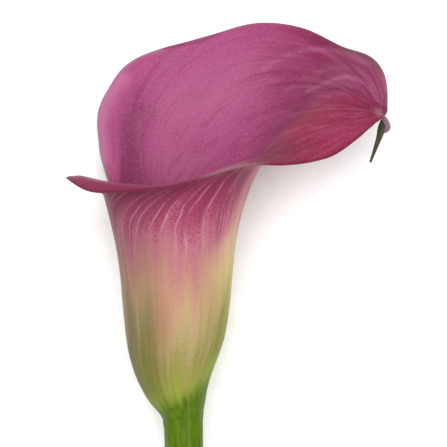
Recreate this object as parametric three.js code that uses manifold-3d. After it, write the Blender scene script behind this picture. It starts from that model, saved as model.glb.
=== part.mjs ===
// A cut calla lily flower, lying on its back on a flat surface. Millimetres, +Z up.
//
// The flower is worked out standing up, in its own frame: X to the right, Y up along the stem from
// the place where the spathe joins it, Z towards the viewer. It is then laid down on the surface.

import * as THREE from 'three';
import { mergeVertices } from 'three/addons/utils/BufferGeometryUtils.js';
import Module from 'manifold-3d';

const wasm = await Module();
wasm.setup();

// How the flower lies: the head is raised by LAY_TILT so that the far rim and the stem's cut end
// touch the surface together. FLOOR_HEIGHT is the surface in the tilted frame, and CENTRE_X and
// CENTRE_Y bring the middle of the whole flower to the origin.
const LAY_TILT = THREE.MathUtils.degToRad(6.9);
const FLOOR_HEIGHT = -15.65;
const CENTRE_X = 11.8;
const CENTRE_Y = 12.7;

// What touches the surface is pressed flat and stays at least this thick
const PRESSED_THICKNESS = 0.65;

// Thickness of the spathe at its base, at the throat and at the rim
const SPATHE_THICKNESS = { base: 1.3, throat: 1.1, rim: 0.7 };

// The two margins of the spathe overlap, so the tube is rolled as a spiral: this is how far its
// wall moves in and out over the whole roll
const ROLL_TRAVEL = 2.1;

// Gap between the stem's top and the pieces that stand on it
const SEAT_GAP = 0.3;

// The tube: height, sideways place of its middle, radius to the middle of the wall
const TUBE = [
  [0, -0.35, 4.9],
  [3, -1.4, 6.5],
  [6.5, -2.1, 7.8],
  [10, -2.4, 9.1],
  [15, -2.2, 10.8],
  [20, -1.8, 12.0],
  [28, -1.6, 13.05],
  [36, -1.6, 13.75],
  [44, -1.8, 14.8],
  [52, -2.0, 16.6],
  [58, -2.2, 18.4],
];

// Ribs of the spathe, from the inner margin round the far side, the tail and the near side to the
// outer margin. Each rib climbs the tube at its angle (degrees, from +X towards the viewer) up to
// its throat height, leaves it with the strength of push, and comes to its rim point along
// heading and pitch (degrees) with the strength of pull. Near the margins the ribs end on the
// tube itself, at a height, and lean away from it by lift.
const RIBS = [
  { angle: -215, height: 33, lift: 0, throat: 26, push: 3, pull: 3 },
  { angle: -204, height: 41, lift: 0, throat: 33, push: 3, pull: 3 },
  { angle: -193, height: 48, lift: 0, throat: 40, push: 3, pull: 3 },
  { angle: -181, height: 54, lift: 0, throat: 45, push: 4, pull: 3 },
  { angle: -169, rim: [-19.6, 58.6, -3], heading: 195, pitch: 60, throat: 47, push: 5, pull: 4 },
  { angle: -157, rim: [-21.2, 63.6, -11], heading: 210, pitch: 10, throat: 48, push: 12, pull: 6 },
  { angle: -146, rim: [-22.8, 70.2, -16], heading: 210, pitch: -20, throat: 48, push: 18, pull: 8 },
  { angle: -136, rim: [-23, 79.6, -20], heading: 215, pitch: -40, throat: 48, push: 23, pull: 9 },
  { angle: -125, rim: [-18, 88.6, -24], heading: 235, pitch: -70, throat: 48, push: 26, pull: 9 },
  { angle: -110, rim: [-7.6, 94.8, -27.6], heading: 250, pitch: -80, throat: 48, push: 28, pull: 8 },
  { angle: -93, rim: [7.4, 98.4, -28], heading: 268, pitch: -70, throat: 48, push: 28, pull: 9 },
  { angle: -75, rim: [20.8, 101.6, -28], heading: 280, pitch: -50, throat: 48, push: 27, pull: 12 },
  { angle: -57, rim: [33.2, 99.8, -26], heading: 300, pitch: -60, throat: 48, push: 26, pull: 13 },
  { angle: -40, rim: [43.8, 94.2, -22], heading: 315, pitch: -70, throat: 47, push: 28, pull: 12 },
  { angle: -26, rim: [51.8, 90.8, -17], heading: 325, pitch: -60, throat: 46, push: 29, pull: 13 },
  { angle: -13, rim: [53.2, 84, -9], heading: 345, pitch: -60, throat: 46, push: 30, pull: 14 },
  { angle: 0, rim: [52, 76.4, -1], heading: 360, pitch: -45, throat: 46, push: 31, pull: 15 },
  { angle: 16, rim: [46, 71.8, 6], heading: 395, pitch: -45, throat: 46, push: 30, pull: 15 },
  { angle: 34, rim: [37.4, 66.2, 13], heading: 420, pitch: -50, throat: 46, push: 26, pull: 13 },
  { angle: 54, rim: [27, 64, 19], heading: 435, pitch: -40, throat: 46, push: 19, pull: 10 },
  { angle: 74, rim: [17, 63.6, 22], heading: 450, pitch: -25, throat: 47, push: 13, pull: 8 },
  { angle: 94, rim: [7.4, 61.4, 24], heading: 455, pitch: -15, throat: 48, push: 9, pull: 6 },
  { angle: 116, rim: [-3, 58.4, 24], heading: 472, pitch: -30, throat: 48, push: 8, pull: 6 },
  { angle: 136, rim: [-13.8, 57, 20], heading: 490, pitch: -50, throat: 48, push: 9, pull: 7 },
  { angle: 154, rim: [-23.8, 57.4, 11], heading: 510, pitch: -60, throat: 48, push: 10, pull: 8 },
  { angle: 170, rim: [-30.4, 61, 0], heading: 538, pitch: -20, throat: 48, push: 11, pull: 9 },
  { angle: 183, rim: [-27, 59.4, -8], heading: 565, pitch: -10, throat: 47, push: 10, pull: 7 },
  { angle: 196, rim: [-22.4, 57.8, -10], heading: 565, pitch: 40, throat: 46, push: 6, pull: 4 },
  { angle: 208, height: 49, lift: 6, throat: 40, push: 3, pull: 3 },
  { angle: 219, height: 38, lift: 6, throat: 30, push: 3, pull: 3 },
  { angle: 230, height: 26, lift: 6, throat: 18, push: 3, pull: 3 },
];
const SPATHE_COLUMNS = 75;
const TUBE_ROWS = 8;
const LIMB_ROWS = 14;

// The tail: a neck that grows out of the middle rib and bends over at a knob, and the thin spike
// that hangs back from it. Each point has its own radius.
const TAIL_RIB_ANGLE = 0;
const NECK_ROOT = [
  { along: 0.8, radius: 0.45 },
  { along: 0.9, radius: 0.85 },
  { along: 1, radius: 1.1 },
];
const NECK_BEND = [
  { at: [52.6, 75.1, -0.5], radius: 1.0 },
  { at: [53.3, 73.6, 0], radius: 0.8 },
  { at: [52.4, 72.8, 0.4], radius: 0.7 },
  { at: [51.3, 72.7, 0.4], radius: 0.5 },
];
const SPIKE = [
  { at: [51.4, 76.2, -1.2], radius: 0.7 },
  { at: [51.2, 74.6, -0.5], radius: 0.85 },
  { at: [51, 72.8, 0.3], radius: 0.85 },
  { at: [49.7, 68.8, 0.8], radius: 0.6 },
  { at: [48.4, 65, 0.3], radius: 0.3 },
];
const TAIL_SIDES = 8;
const TAIL_STEPS_PER_POINT = 3;

// The stem, from the spathe down to the cut end, which is cut on the slant
const STEM = [
  { at: [-0.3, 0, 0], radius: 5.35 },
  { at: [-0.3, -2, 0], radius: 5.25 },
  { at: [-0.1, -6, -0.1], radius: 5.05 },
  { at: [0.1, -20, -0.3], radius: 5 },
  { at: [0.6, -45, -0.6], radius: 5.1 },
  { at: [1.6, -80, -1.2], radius: 5.3 },
];
const STEM_SIDES = 28;
const STEM_STEPS_PER_POINT = 3;
const CUT_SLANT = 0.35;

// The spadix: height, sideways place and radius, and the florets that stand out of it
const SPADIX = [
  [0, -0.35, 2.2],
  [3, -0.9, 2.8],
  [8, -1.5, 3.3],
  [18, -1.8, 3.6],
  [30, -1.7, 3.5],
  [39, -1.7, 3.1],
  [43.5, -1.7, 2.3],
  [45.7, -1.7, 1.2],
];
const SPADIX_TIP = 46.3;
const SPADIX_SIDES = 36;
const SPADIX_ROWS = 34;
const FLORETS_ROUND = 9;
const FLORET_RISE = 0.3;
const FLORET_PITCH = 2.7;

// A smooth curve through rows of numbers, at a place counted in rows
function smoothRow(rows, place) {
  const span = Math.min(Math.floor(place), rows.length - 2);
  const t = place - span;
  const mirror = (a, b) => a.map((value, i) => 2 * value - b[i]);
  const before = span > 0 ? rows[span - 1] : mirror(rows[0], rows[1]);
  const after = span + 2 < rows.length ? rows[span + 2] : mirror(rows.at(-1), rows.at(-2));
  const [from, to] = [rows[span], rows[span + 1]];
  return from.map((p1, i) => {
    const [p0, p2, p3] = [before[i], to[i], after[i]];
    const linear = p2 - p0;
    const square = 2 * p0 - 5 * p1 + 4 * p2 - p3;
    const cube = 3 * p1 - 3 * p2 + p3 - p0;
    return 0.5 * (2 * p1 + linear * t + square * t * t + cube * t * t * t);
  });
}

// Value and slope of a profile's columns at a height, by cubic pieces with averaged slopes
function profileAt(profile, height) {
  const last = profile.length - 1;
  const slopeAt = (i, column) => {
    const low = Math.max(i - 1, 0);
    const high = Math.min(i + 1, last);
    return (profile[high][column] - profile[low][column]) / (profile[high][0] - profile[low][0]);
  };
  let i = 0;
  while (i < last - 1 && profile[i + 1][0] <= height) i += 1;
  const step = profile[i + 1][0] - profile[i][0];
  const t = Math.min(Math.max((height - profile[i][0]) / step, 0), 1);
  return [1, 2].map((column) => {
    const [a, b] = [profile[i][column], profile[i + 1][column]];
    const [ma, mb] = [slopeAt(i, column) * step, slopeAt(i + 1, column) * step];
    const cubic = 2 * a - 2 * b + ma + mb;
    const square = -3 * a + 3 * b - 2 * ma - mb;
    const value = a + ma * t + square * t * t + cubic * t * t * t;
    const slope = (ma + 2 * square * t + 3 * cubic * t * t) / step;
    return { value, slope };
  });
}

// Point on the middle of the tube's wall, with the direction in which the wall climbs there
function tubePoint(angle, height) {
  const turn = THREE.MathUtils.degToRad(angle);
  const [centre, radius] = profileAt(TUBE, height);
  const rolled = (angle - RIBS[0].angle) / (RIBS.at(-1).angle - RIBS[0].angle);
  const reach = radius.value + ROLL_TRAVEL * (rolled - 0.5);
  const point = new THREE.Vector3(
    centre.value + reach * Math.cos(turn),
    height,
    reach * Math.sin(turn),
  );
  const climb = new THREE.Vector3(
    centre.slope + radius.slope * Math.cos(turn),
    1,
    radius.slope * Math.sin(turn),
  );
  return { point, climb: climb.normalize() };
}

// Where a rib ends and the handle that brings it there
function ribEnd(rib) {
  if (rib.rim) {
    const heading = THREE.MathUtils.degToRad(rib.heading);
    const pitch = THREE.MathUtils.degToRad(rib.pitch);
    const direction = new THREE.Vector3(
      Math.cos(pitch) * Math.cos(heading),
      Math.sin(pitch),
      Math.cos(pitch) * Math.sin(heading),
    );
    const end = new THREE.Vector3(...rib.rim);
    return { end, handle: end.clone().addScaledVector(direction, -rib.pull) };
  }
  const { point, climb } = tubePoint(rib.angle, rib.height);
  const turn = THREE.MathUtils.degToRad(rib.angle);
  const lift = THREE.MathUtils.degToRad(rib.lift);
  const away = new THREE.Vector3(Math.cos(turn), 0, Math.sin(turn));
  away.addScaledVector(climb, -away.dot(climb)).normalize();
  const direction = climb.clone().multiplyScalar(Math.cos(lift));
  direction.addScaledVector(away, Math.sin(lift));
  return { end: point, handle: point.clone().addScaledVector(direction, -rib.pull) };
}

const ribRows = RIBS.map((rib) => {
  const { end, handle } = ribEnd(rib);
  return [rib.angle, ...end, ...handle, rib.push, rib.throat];
});

// Middle of the spathe's thickness: across counts ribs, along runs from 0 at the base to 1 at the
// throat and 2 at the rim
function spathePoint(across, along) {
  const row = smoothRow(ribRows, across);
  const [angle, push, throat] = [row[0], row[7], row[8]];
  if (along < 1) {
    const height = THREE.MathUtils.lerp(SEAT_GAP, throat, along);
    return tubePoint(angle, height).point;
  }
  const { point, climb } = tubePoint(angle, throat);
  const curve = new THREE.CubicBezierCurve3(
    point,
    point.clone().addScaledVector(climb, push),
    new THREE.Vector3(row[4], row[5], row[6]),
    new THREE.Vector3(row[1], row[2], row[3]),
  );
  return curve.getPoint(along - 1);
}

function spatheThickness(along) {
  const { base, throat, rim } = SPATHE_THICKNESS;
  if (along < 1) return THREE.MathUtils.lerp(base, throat, along);
  return THREE.MathUtils.lerp(throat, rim, along - 1);
}

// From the standing frame to the lying one, with the surface at height 0
const layDown = new THREE.Matrix4()
  .makeTranslation(-CENTRE_X, -CENTRE_Y, -FLOOR_HEIGHT)
  .multiply(new THREE.Matrix4().makeRotationX(LAY_TILT));

function geometryFrom(positions, triangles) {
  const geometry = new THREE.BufferGeometry();
  geometry.setAttribute('position', new THREE.Float32BufferAttribute(positions, 3));
  geometry.setIndex(triangles);
  return geometry;
}

// The spathe as a closed solid: an outer and an inner skin joined along all four edges
function spatheShell() {
  const rows = TUBE_ROWS + LIMB_ROWS;
  const alongOf = (row) => (row < TUBE_ROWS ? row / TUBE_ROWS : 1 + (row - TUBE_ROWS) / LIMB_ROWS);
  const acrossOf = (column) => (column / SPATHE_COLUMNS) * (RIBS.length - 1);
  const middle = [];
  for (let row = 0; row <= rows; row += 1) {
    middle.push([]);
    for (let column = 0; column <= SPATHE_COLUMNS; column += 1) {
      middle[row].push(spathePoint(acrossOf(column), alongOf(row)));
    }
  }
  const difference = (a, b) => new THREE.Vector3().subVectors(a, b);
  const outwardAt = (row, column) => {
    const up = difference(
      middle[Math.min(row + 1, rows)][column],
      middle[Math.max(row - 1, 0)][column],
    );
    const round = difference(
      middle[row][Math.min(column + 1, SPATHE_COLUMNS)],
      middle[row][Math.max(column - 1, 0)],
    );
    const outward = up.cross(round);
    if (row === 0) outward.y = 0;
    return outward.normalize();
  };
  const outer = [];
  const inner = [];
  for (let row = 0; row <= rows; row += 1) {
    for (let column = 0; column <= SPATHE_COLUMNS; column += 1) {
      const half = outwardAt(row, column).multiplyScalar(spatheThickness(alongOf(row)) / 2);
      const onOuter = middle[row][column].clone().add(half).applyMatrix4(layDown);
      const onInner = middle[row][column].clone().sub(half).applyMatrix4(layDown);
      if (onOuter.z < PRESSED_THICKNESS || onInner.z < PRESSED_THICKNESS) {
        const under = onOuter.z < onInner.z;
        onOuter.z = Math.max(onOuter.z, under ? 0 : PRESSED_THICKNESS);
        onInner.z = Math.max(onInner.z, under ? PRESSED_THICKNESS : 0);
      }
      outer.push(...onOuter);
      inner.push(...onInner);
    }
  }
  const width = SPATHE_COLUMNS + 1;
  const skin = width * (rows + 1);
  const triangles = [];
  const quad = (a, b, c, d) => triangles.push(a, b, c, a, c, d);
  for (let row = 0; row < rows; row += 1) {
    for (let column = 0; column < SPATHE_COLUMNS; column += 1) {
      const a = row * width + column;
      const [b, c, d] = [a + 1, a + width + 1, a + width];
      triangles.push(a, d, c, a, c, b);
      triangles.push(skin + a, skin + c, skin + d, skin + a, skin + b, skin + c);
    }
  }
  for (let column = 0; column < SPATHE_COLUMNS; column += 1) {
    const low = column;
    const high = rows * width + column;
    quad(high, skin + high, skin + high + 1, high + 1);
    quad(low, low + 1, skin + low + 1, skin + low);
  }
  for (let row = 0; row < rows; row += 1) {
    const first = row * width;
    const final = first + SPATHE_COLUMNS;
    quad(first, skin + first, skin + first + width, first + width);
    quad(final, final + width, skin + final + width, skin + final);
  }
  return geometryFrom([...outer, ...inner], triangles);
}

// A closed tube through points that each have their own radius. shapeEnd may move the points of
// the last ring.
function taperedTube(points, sides, stepsPerPoint, shapeEnd = () => {}) {
  const rows = points.map(({ at, radius }) => [...at, radius]);
  const steps = (points.length - 1) * stepsPerPoint;
  const rings = [];
  for (let step = 0; step <= steps; step += 1) rings.push(smoothRow(rows, step / stepsPerPoint));
  const positions = [];
  for (let step = 0; step <= steps; step += 1) {
    const centre = new THREE.Vector3(...rings[step]);
    const ahead = new THREE.Vector3(...rings[Math.min(step + 1, steps)]);
    const behind = new THREE.Vector3(...rings[Math.max(step - 1, 0)]);
    const along = ahead.sub(behind).normalize();
    const side = new THREE.Vector3(0, 0, 1).cross(along).normalize();
    const front = along.clone().cross(side);
    for (let i = 0; i < sides; i += 1) {
      const turn = (i / sides) * 2 * Math.PI;
      const point = centre.clone();
      point.addScaledVector(side, rings[step][3] * Math.cos(turn));
      point.addScaledVector(front, rings[step][3] * Math.sin(turn));
      if (step === steps) shapeEnd(point, centre);
      positions.push(...point);
    }
  }
  const triangles = [];
  for (let step = 0; step < steps; step += 1) {
    for (let i = 0; i < sides; i += 1) {
      const a = step * sides + i;
      const b = step * sides + ((i + 1) % sides);
      triangles.push(a, b, b + sides, a, b + sides, a + sides);
    }
  }
  const start = positions.length / 3;
  const end = start + 1;
  positions.push(...rings[0].slice(0, 3), ...rings[steps].slice(0, 3));
  for (let i = 0; i < sides; i += 1) {
    const next = (i + 1) % sides;
    triangles.push(start, next, i);
    triangles.push(end, steps * sides + i, steps * sides + next);
  }
  return geometryFrom(positions, triangles);
}

function tailTubes() {
  const rib = RIBS.findIndex(({ angle }) => angle === TAIL_RIB_ANGLE);
  const root = NECK_ROOT.map(({ along, radius }) => ({ at: spathePoint(rib, 1 + along), radius }));
  const neck = taperedTube([...root, ...NECK_BEND], TAIL_SIDES, TAIL_STEPS_PER_POINT);
  const spike = taperedTube(SPIKE, TAIL_SIDES, TAIL_STEPS_PER_POINT);
  return [neck, spike];
}

function toSolid(geometry) {
  const bare = geometry.clone();
  bare.deleteAttribute('normal');
  bare.deleteAttribute('uv');
  const merged = mergeVertices(bare);
  return new wasm.Manifold(new wasm.Mesh({
    numProp: 3,
    vertProperties: new Float32Array(merged.attributes.position.array),
    triVerts: new Uint32Array(merged.index.array),
  }));
}

function toGeometry(solid) {
  const mesh = solid.getMesh();
  return geometryFrom([...mesh.vertProperties], [...mesh.triVerts]);
}

function spatheGeometry() {
  let solid = toSolid(spatheShell());
  for (const tube of tailTubes()) solid = solid.add(toSolid(tube.applyMatrix4(layDown)));
  return toGeometry(solid);
}

function stemGeometry() {
  const slant = (point, centre) => {
    point.y += CUT_SLANT * (point.z - centre.z);
  };
  const geometry = taperedTube(STEM, STEM_SIDES, STEM_STEPS_PER_POINT, slant);
  geometry.applyMatrix4(layDown);
  const places = geometry.attributes.position;
  for (let i = 0; i < places.count; i += 1) places.setZ(i, Math.max(places.getZ(i), 0));
  return geometry;
}

// The spadix stands on the stem. Florets in crossing spirals raise its surface.
function spadixGeometry() {
  const top = SPADIX.at(-1)[0];
  const positions = [];
  for (let row = 0; row <= SPADIX_ROWS; row += 1) {
    const height = (row / SPADIX_ROWS) * top;
    const [centre, radius] = profileAt(SPADIX, height);
    for (let i = 0; i < SPADIX_SIDES; i += 1) {
      const turn = (i / SPADIX_SIDES) * 2 * Math.PI;
      const climb = (Math.PI * height) / FLORET_PITCH;
      const spirals = Math.cos(FLORETS_ROUND * turn / 2 + climb) * Math.cos(FLORETS_ROUND * turn / 2 - climb);
      const reach = radius.value + FLORET_RISE * Math.abs(spirals) * Math.min(row / 3, 1);
      positions.push(
        centre.value + reach * Math.cos(turn),
        SEAT_GAP + height,
        reach * Math.sin(turn),
      );
    }
  }
  const foot = positions.length / 3;
  positions.push(SPADIX[0][1], SEAT_GAP, 0);
  positions.push(SPADIX.at(-1)[1], SPADIX_TIP, 0);
  const triangles = [];
  for (let row = 0; row < SPADIX_ROWS; row += 1) {
    for (let i = 0; i < SPADIX_SIDES; i += 1) {
      const a = row * SPADIX_SIDES + i;
      const b = row * SPADIX_SIDES + ((i + 1) % SPADIX_SIDES);
      triangles.push(a, b + SPADIX_SIDES, b, a, a + SPADIX_SIDES, b + SPADIX_SIDES);
    }
  }
  const last = SPADIX_ROWS * SPADIX_SIDES;
  for (let i = 0; i < SPADIX_SIDES; i += 1) {
    const next = (i + 1) % SPADIX_SIDES;
    triangles.push(foot, i, next);
    triangles.push(foot + 1, last + next, last + i);
  }
  return geometryFrom(positions, triangles).applyMatrix4(layDown);
}

function piece(name, geometry, color, roughness) {
  const material = new THREE.MeshStandardMaterial({ color, roughness, metalness: 0 });
  geometry.computeVertexNormals();
  const mesh = new THREE.Mesh(geometry, material);
  mesh.name = name;
  return mesh;
}

const group = new THREE.Group();
group.add(piece('spathe', spatheGeometry(), 0xb45a82, 0.5));
group.add(piece('stem', stemGeometry(), 0x5f7d26, 0.45));
group.add(piece('spadix', spadixGeometry(), 0xe0b23c, 0.7));

export default group;
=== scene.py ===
# %% [markdown]
# # A cut calla lily lying on a pale table
#
# A calla lily has three parts. The stem, or scape, is a smooth round stalk. The spathe is one large
# coloured leaf that rolls round into a trumpet and ends in a thin curled tail. The spadix is the
# yellow spike of tiny florets that stands inside the trumpet. This lesson makes each part as one
# closed mesh in numpy or Geometry Nodes, gives it a procedural finish, and lights it softly.
#
# The CAD model comes first. It gives the size of everything, and each new piece stands in the place
# of one of its nodes.

# %% Load the frame
import math

import bpy
import numpy as np
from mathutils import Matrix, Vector


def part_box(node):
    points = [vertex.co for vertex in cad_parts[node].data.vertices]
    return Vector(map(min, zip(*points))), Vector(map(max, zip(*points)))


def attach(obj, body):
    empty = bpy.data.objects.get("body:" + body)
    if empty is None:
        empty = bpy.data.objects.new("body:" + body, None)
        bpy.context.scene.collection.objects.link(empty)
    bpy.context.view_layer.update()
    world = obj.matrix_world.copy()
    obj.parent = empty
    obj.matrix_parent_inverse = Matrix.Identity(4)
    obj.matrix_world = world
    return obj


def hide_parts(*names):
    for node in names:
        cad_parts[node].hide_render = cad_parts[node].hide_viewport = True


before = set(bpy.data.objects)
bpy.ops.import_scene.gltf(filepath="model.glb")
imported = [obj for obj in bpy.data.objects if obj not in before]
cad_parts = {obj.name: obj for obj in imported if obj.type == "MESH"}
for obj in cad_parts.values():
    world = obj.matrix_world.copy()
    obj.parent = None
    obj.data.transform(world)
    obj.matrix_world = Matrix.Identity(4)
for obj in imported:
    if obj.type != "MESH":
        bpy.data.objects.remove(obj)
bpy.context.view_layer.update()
print("CAD nodes:", sorted(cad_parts))

# %% [markdown]
# ## How the flower lies
#
# It is easiest to think of the flower standing up: X to the right, Y up the stem, Z towards the
# viewer, with the origin where the spathe joins the stem. Lengths are in millimetres there. One
# function then lays the flower on the table, with its head raised a little so that the far rim and
# the cut end of the stem touch the table together, and turns millimetres to metres.

# %% The lying pose
MM = 0.001
LAY_TILT = math.radians(6.9)
TABLE_HEIGHT = -15.65
CENTRE_X = 11.8
CENTRE_Y = 12.7


def lay_down(points):
    """Points of the standing flower, in millimetres, to the lying one, in metres."""
    x, y, z = np.moveaxis(np.asarray(points, float), -1, 0)
    raised_y = y * math.cos(LAY_TILT) - z * math.sin(LAY_TILT)
    raised_z = y * math.sin(LAY_TILT) + z * math.cos(LAY_TILT)
    lying = (x - CENTRE_X, raised_y - CENTRE_Y, raised_z - TABLE_HEIGHT)
    return np.stack(lying, -1) * MM


print("stem joint lies at", lay_down([0, 0, 0]).round(4), "m")

# %% [markdown]
# ## Smooth curves through a few numbers
#
# A spathe has no flat or round parts to measure, so its shape is written as short tables and read
# smoothly between their rows. A Catmull-Rom curve passes through every row. The second function
# does the same for a profile by height, and gives its slope as well. The others are soft steps, by
# which one form or colour passes into the next, and a maker of directions.

# %% Reading tables smoothly
def smooth_rows(rows, places):
    """Rows of numbers read at places counted in rows, along a Catmull-Rom curve."""
    rows = np.asarray(rows, float)
    places = np.asarray(places, float)
    first = np.clip(np.floor(places).astype(int), 0, len(rows) - 2)
    t = (places - first)[..., None]
    padded = np.vstack([2 * rows[0] - rows[1], rows, 2 * rows[-1] - rows[-2]])
    p0, p1, p2, p3 = (padded[first + i] for i in range(4))
    straight = p2 - p0
    square = 2 * p0 - 5 * p1 + 4 * p2 - p3
    cube = 3 * p1 - 3 * p2 + p3 - p0
    return 0.5 * (2 * p1 + straight * t + square * t**2 + cube * t**3)


def profile_at(profile, heights):
    """Values and slopes of a profile's columns at some heights."""
    profile = np.asarray(profile, float)
    at, columns = profile[:, 0], profile[:, 1:]
    high = np.minimum(np.arange(len(at)) + 1, len(at) - 1)
    low = np.maximum(np.arange(len(at)) - 1, 0)
    slopes = (columns[high] - columns[low]) / (at[high] - at[low])[:, None]
    heights = np.asarray(heights, float)
    i = np.clip(np.searchsorted(at, heights, side="right") - 1, 0, len(at) - 2)
    step = (at[i + 1] - at[i])[..., None]
    t = np.clip((heights - at[i])[..., None] / step, 0, 1)
    a, b = columns[i], columns[i + 1]
    ma, mb = slopes[i] * step, slopes[i + 1] * step
    cubic = 2 * a - 2 * b + ma + mb
    square = -3 * a + 3 * b - 2 * ma - mb
    values = a + ma * t + square * t**2 + cubic * t**3
    return values, (ma + 2 * square * t + 3 * cubic * t**2) / step


def ease(x, start, end):
    """A smooth step from 0 at start to 1 at end."""
    t = np.clip((np.asarray(x, float) - start) / (end - start), 0, 1)
    return t * t * (3 - 2 * t)


def stretch(x, rise, fall):
    """1 on a stretch of x, which starts with one smooth step and ends with another."""
    return ease(x, *rise) * (1 - ease(x, *fall))


def unit(vectors):
    """Vectors brought to length 1."""
    length = np.linalg.norm(vectors, axis=-1, keepdims=True)
    return vectors / np.maximum(length, 1e-9)


print("half way up a step:", ease(0.5, 0, 1))

# %% [markdown]
# ## The spathe's rolled surface
#
# The spathe is one leaf. Its lower part is rolled into a tube, one margin over the other, and its
# upper part opens into a wide limb. It could be sculpted, or cut from a subdivided cone. Here it is
# a surface of ribs, because the real leaf is built on ribs too: each one climbs the tube, leaves it
# at the throat and bends to its own point on the rim. The table is the same as the CAD model's, so
# both have one shape. Here it is read much more finely. The ribs that end in the corner where the
# outer margin meets the rim are about 1 mm shorter than in the solid, so that the fine mesh doesn't
# fold over itself there.

# %% The rolled tube
SEAT_GAP = 0.3
ROLL_TRAVEL = 2.1
FIRST_ANGLE, LAST_ANGLE = -215, 230

# Height, sideways place of the tube's middle, radius to the middle of its wall
TUBE = [
    (0, -0.35, 4.9), (3, -1.4, 6.5), (6.5, -2.1, 7.8), (10, -2.4, 9.1), (15, -2.2, 10.8),
    (20, -1.8, 12.0), (28, -1.6, 13.05), (36, -1.6, 13.75), (44, -1.8, 14.8), (52, -2.0, 16.6),
    (58, -2.2, 18.4),
]


def tube_point(angle, height):
    """A point on the middle of the tube's wall, and the direction in which the wall climbs."""
    angle, height = np.broadcast_arrays(np.asarray(angle, float), np.asarray(height, float))
    turn = np.radians(angle)
    values, slopes = profile_at(TUBE, height)
    rolled = (angle - FIRST_ANGLE) / (LAST_ANGLE - FIRST_ANGLE)
    reach = values[..., 1] + ROLL_TRAVEL * (rolled - 0.5)
    point = np.stack([values[..., 0] + reach * np.cos(turn), height, reach * np.sin(turn)], -1)
    climb_x = slopes[..., 0] + slopes[..., 1] * np.cos(turn)
    climb = np.stack([climb_x, np.ones_like(turn), slopes[..., 1] * np.sin(turn)], -1)
    return point, unit(climb)


print("at 20 mm the tube's outer margin is at", tube_point(LAST_ANGLE, 20)[0].round(1), "mm")

# %% The ribs
# Angle round the tube, rim point, heading and pitch there, throat height, and how strongly the rib
# leaves the throat and reaches the rim. Ribs next to a margin end on the tube, at a height, and
# have a lift in the place of heading and pitch.
RIBS = [
    (-215, 33, 0, 26, 3, 3),
    (-204, 41, 0, 33, 3, 3),
    (-193, 48, 0, 40, 3, 3),
    (-181, 54, 0, 45, 4, 3),
    (-169, (-19.6, 58.6, -3), (195, 60), 47, 5, 4),
    (-157, (-21.2, 63.6, -11), (210, 10), 48, 12, 6),
    (-146, (-22.8, 70.2, -16), (210, -20), 48, 18, 8),
    (-136, (-23, 79.6, -20), (215, -40), 48, 23, 9),
    (-125, (-18, 88.6, -24), (235, -70), 48, 26, 9),
    (-110, (-7.6, 94.8, -27.6), (250, -80), 48, 28, 8),
    (-93, (7.4, 98.4, -28), (268, -70), 48, 28, 9),
    (-75, (20.8, 101.6, -28), (280, -50), 48, 27, 12),
    (-57, (33.2, 99.8, -26), (300, -60), 48, 26, 13),
    (-40, (43.8, 94.2, -22), (315, -70), 47, 28, 12),
    (-26, (51.8, 90.8, -17), (325, -60), 46, 29, 13),
    (-13, (53.2, 84, -9), (345, -60), 46, 30, 14),
    (0, (52, 76.4, -1), (360, -45), 46, 31, 15),
    (16, (46, 71.8, 6), (395, -45), 46, 30, 15),
    (34, (37.4, 66.2, 13), (420, -50), 46, 26, 13),
    (54, (27, 64, 19), (435, -40), 46, 19, 10),
    (74, (17, 63.6, 22), (450, -25), 47, 13, 8),
    (94, (7.4, 61.4, 24), (455, -15), 48, 9, 6),
    (116, (-3, 58.4, 24), (472, -30), 48, 8, 6),
    (136, (-13.8, 57, 20), (490, -50), 48, 9, 7),
    (154, (-23.8, 57.4, 11), (510, -60), 48, 10, 8),
    (170, (-30.4, 61, 0), (538, -20), 48, 11, 9),
    (183, (-27, 59.4, -8), (565, -10), 47, 10, 7),
    (196, (-22.4, 57.8, -10), (565, 40), 46, 6, 4),
    (208, 49, 6, 40, 3, 3),
    (219, 38, 6, 30, 3, 3),
    (230, 26, 6, 18, 3, 3),
]


def rib_row(rib):
    """One row of the smooth table: angle, rim point, its handle, push and throat height."""
    angle, end, leaving, throat, push, pull = rib
    if isinstance(end, tuple):
        heading, pitch = np.radians(leaving)
        flat = math.cos(pitch)
        direction = [flat * math.cos(heading), math.sin(pitch), flat * math.sin(heading)]
        end = np.array(end, float)
    else:
        turn, lift = math.radians(angle), math.radians(leaving)
        end, climb = tube_point(angle, end)
        away = np.array([math.cos(turn), 0, math.sin(turn)])
        away = unit(away - climb * (away @ climb))
        direction = climb * math.cos(lift) + away * math.sin(lift)
    return [angle, *end, *(end - pull * np.array(direction)), push, throat]


rib_rows = [rib_row(rib) for rib in RIBS]
print(len(rib_rows), "ribs from", FIRST_ANGLE, "to", LAST_ANGLE, "degrees")

# %% The leaf's grid of points
def spathe_middle(across, along):
    """Middle of the leaf. Across counts ribs; along is 0 at the base, 1 at the throat, 2 at the rim."""
    row = smooth_rows(rib_rows, across)
    angle, push, throat = row[..., 0], row[..., 7:8], row[..., 8]
    on_tube = tube_point(angle, SEAT_GAP + (throat - SEAT_GAP) * np.clip(along, 0, 1))[0]
    start, climb = tube_point(angle, throat)
    s = np.clip(along - 1, 0, 1)[..., None]
    handle, end = row[..., 4:7], row[..., 1:4]
    limb = (1 - s) ** 3 * start + 3 * (1 - s) ** 2 * s * (start + push * climb)
    limb = limb + 3 * (1 - s) * s**2 * handle + s**3 * end
    return np.where((along < 1)[..., None], on_tube, limb)


COLUMNS = 320
TUBE_ROWS = 24
LIMB_ROWS = 84
CORNER_TRIM = 0.13
CORNER_ANGLES = (191, 199), (204, 212)

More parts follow.
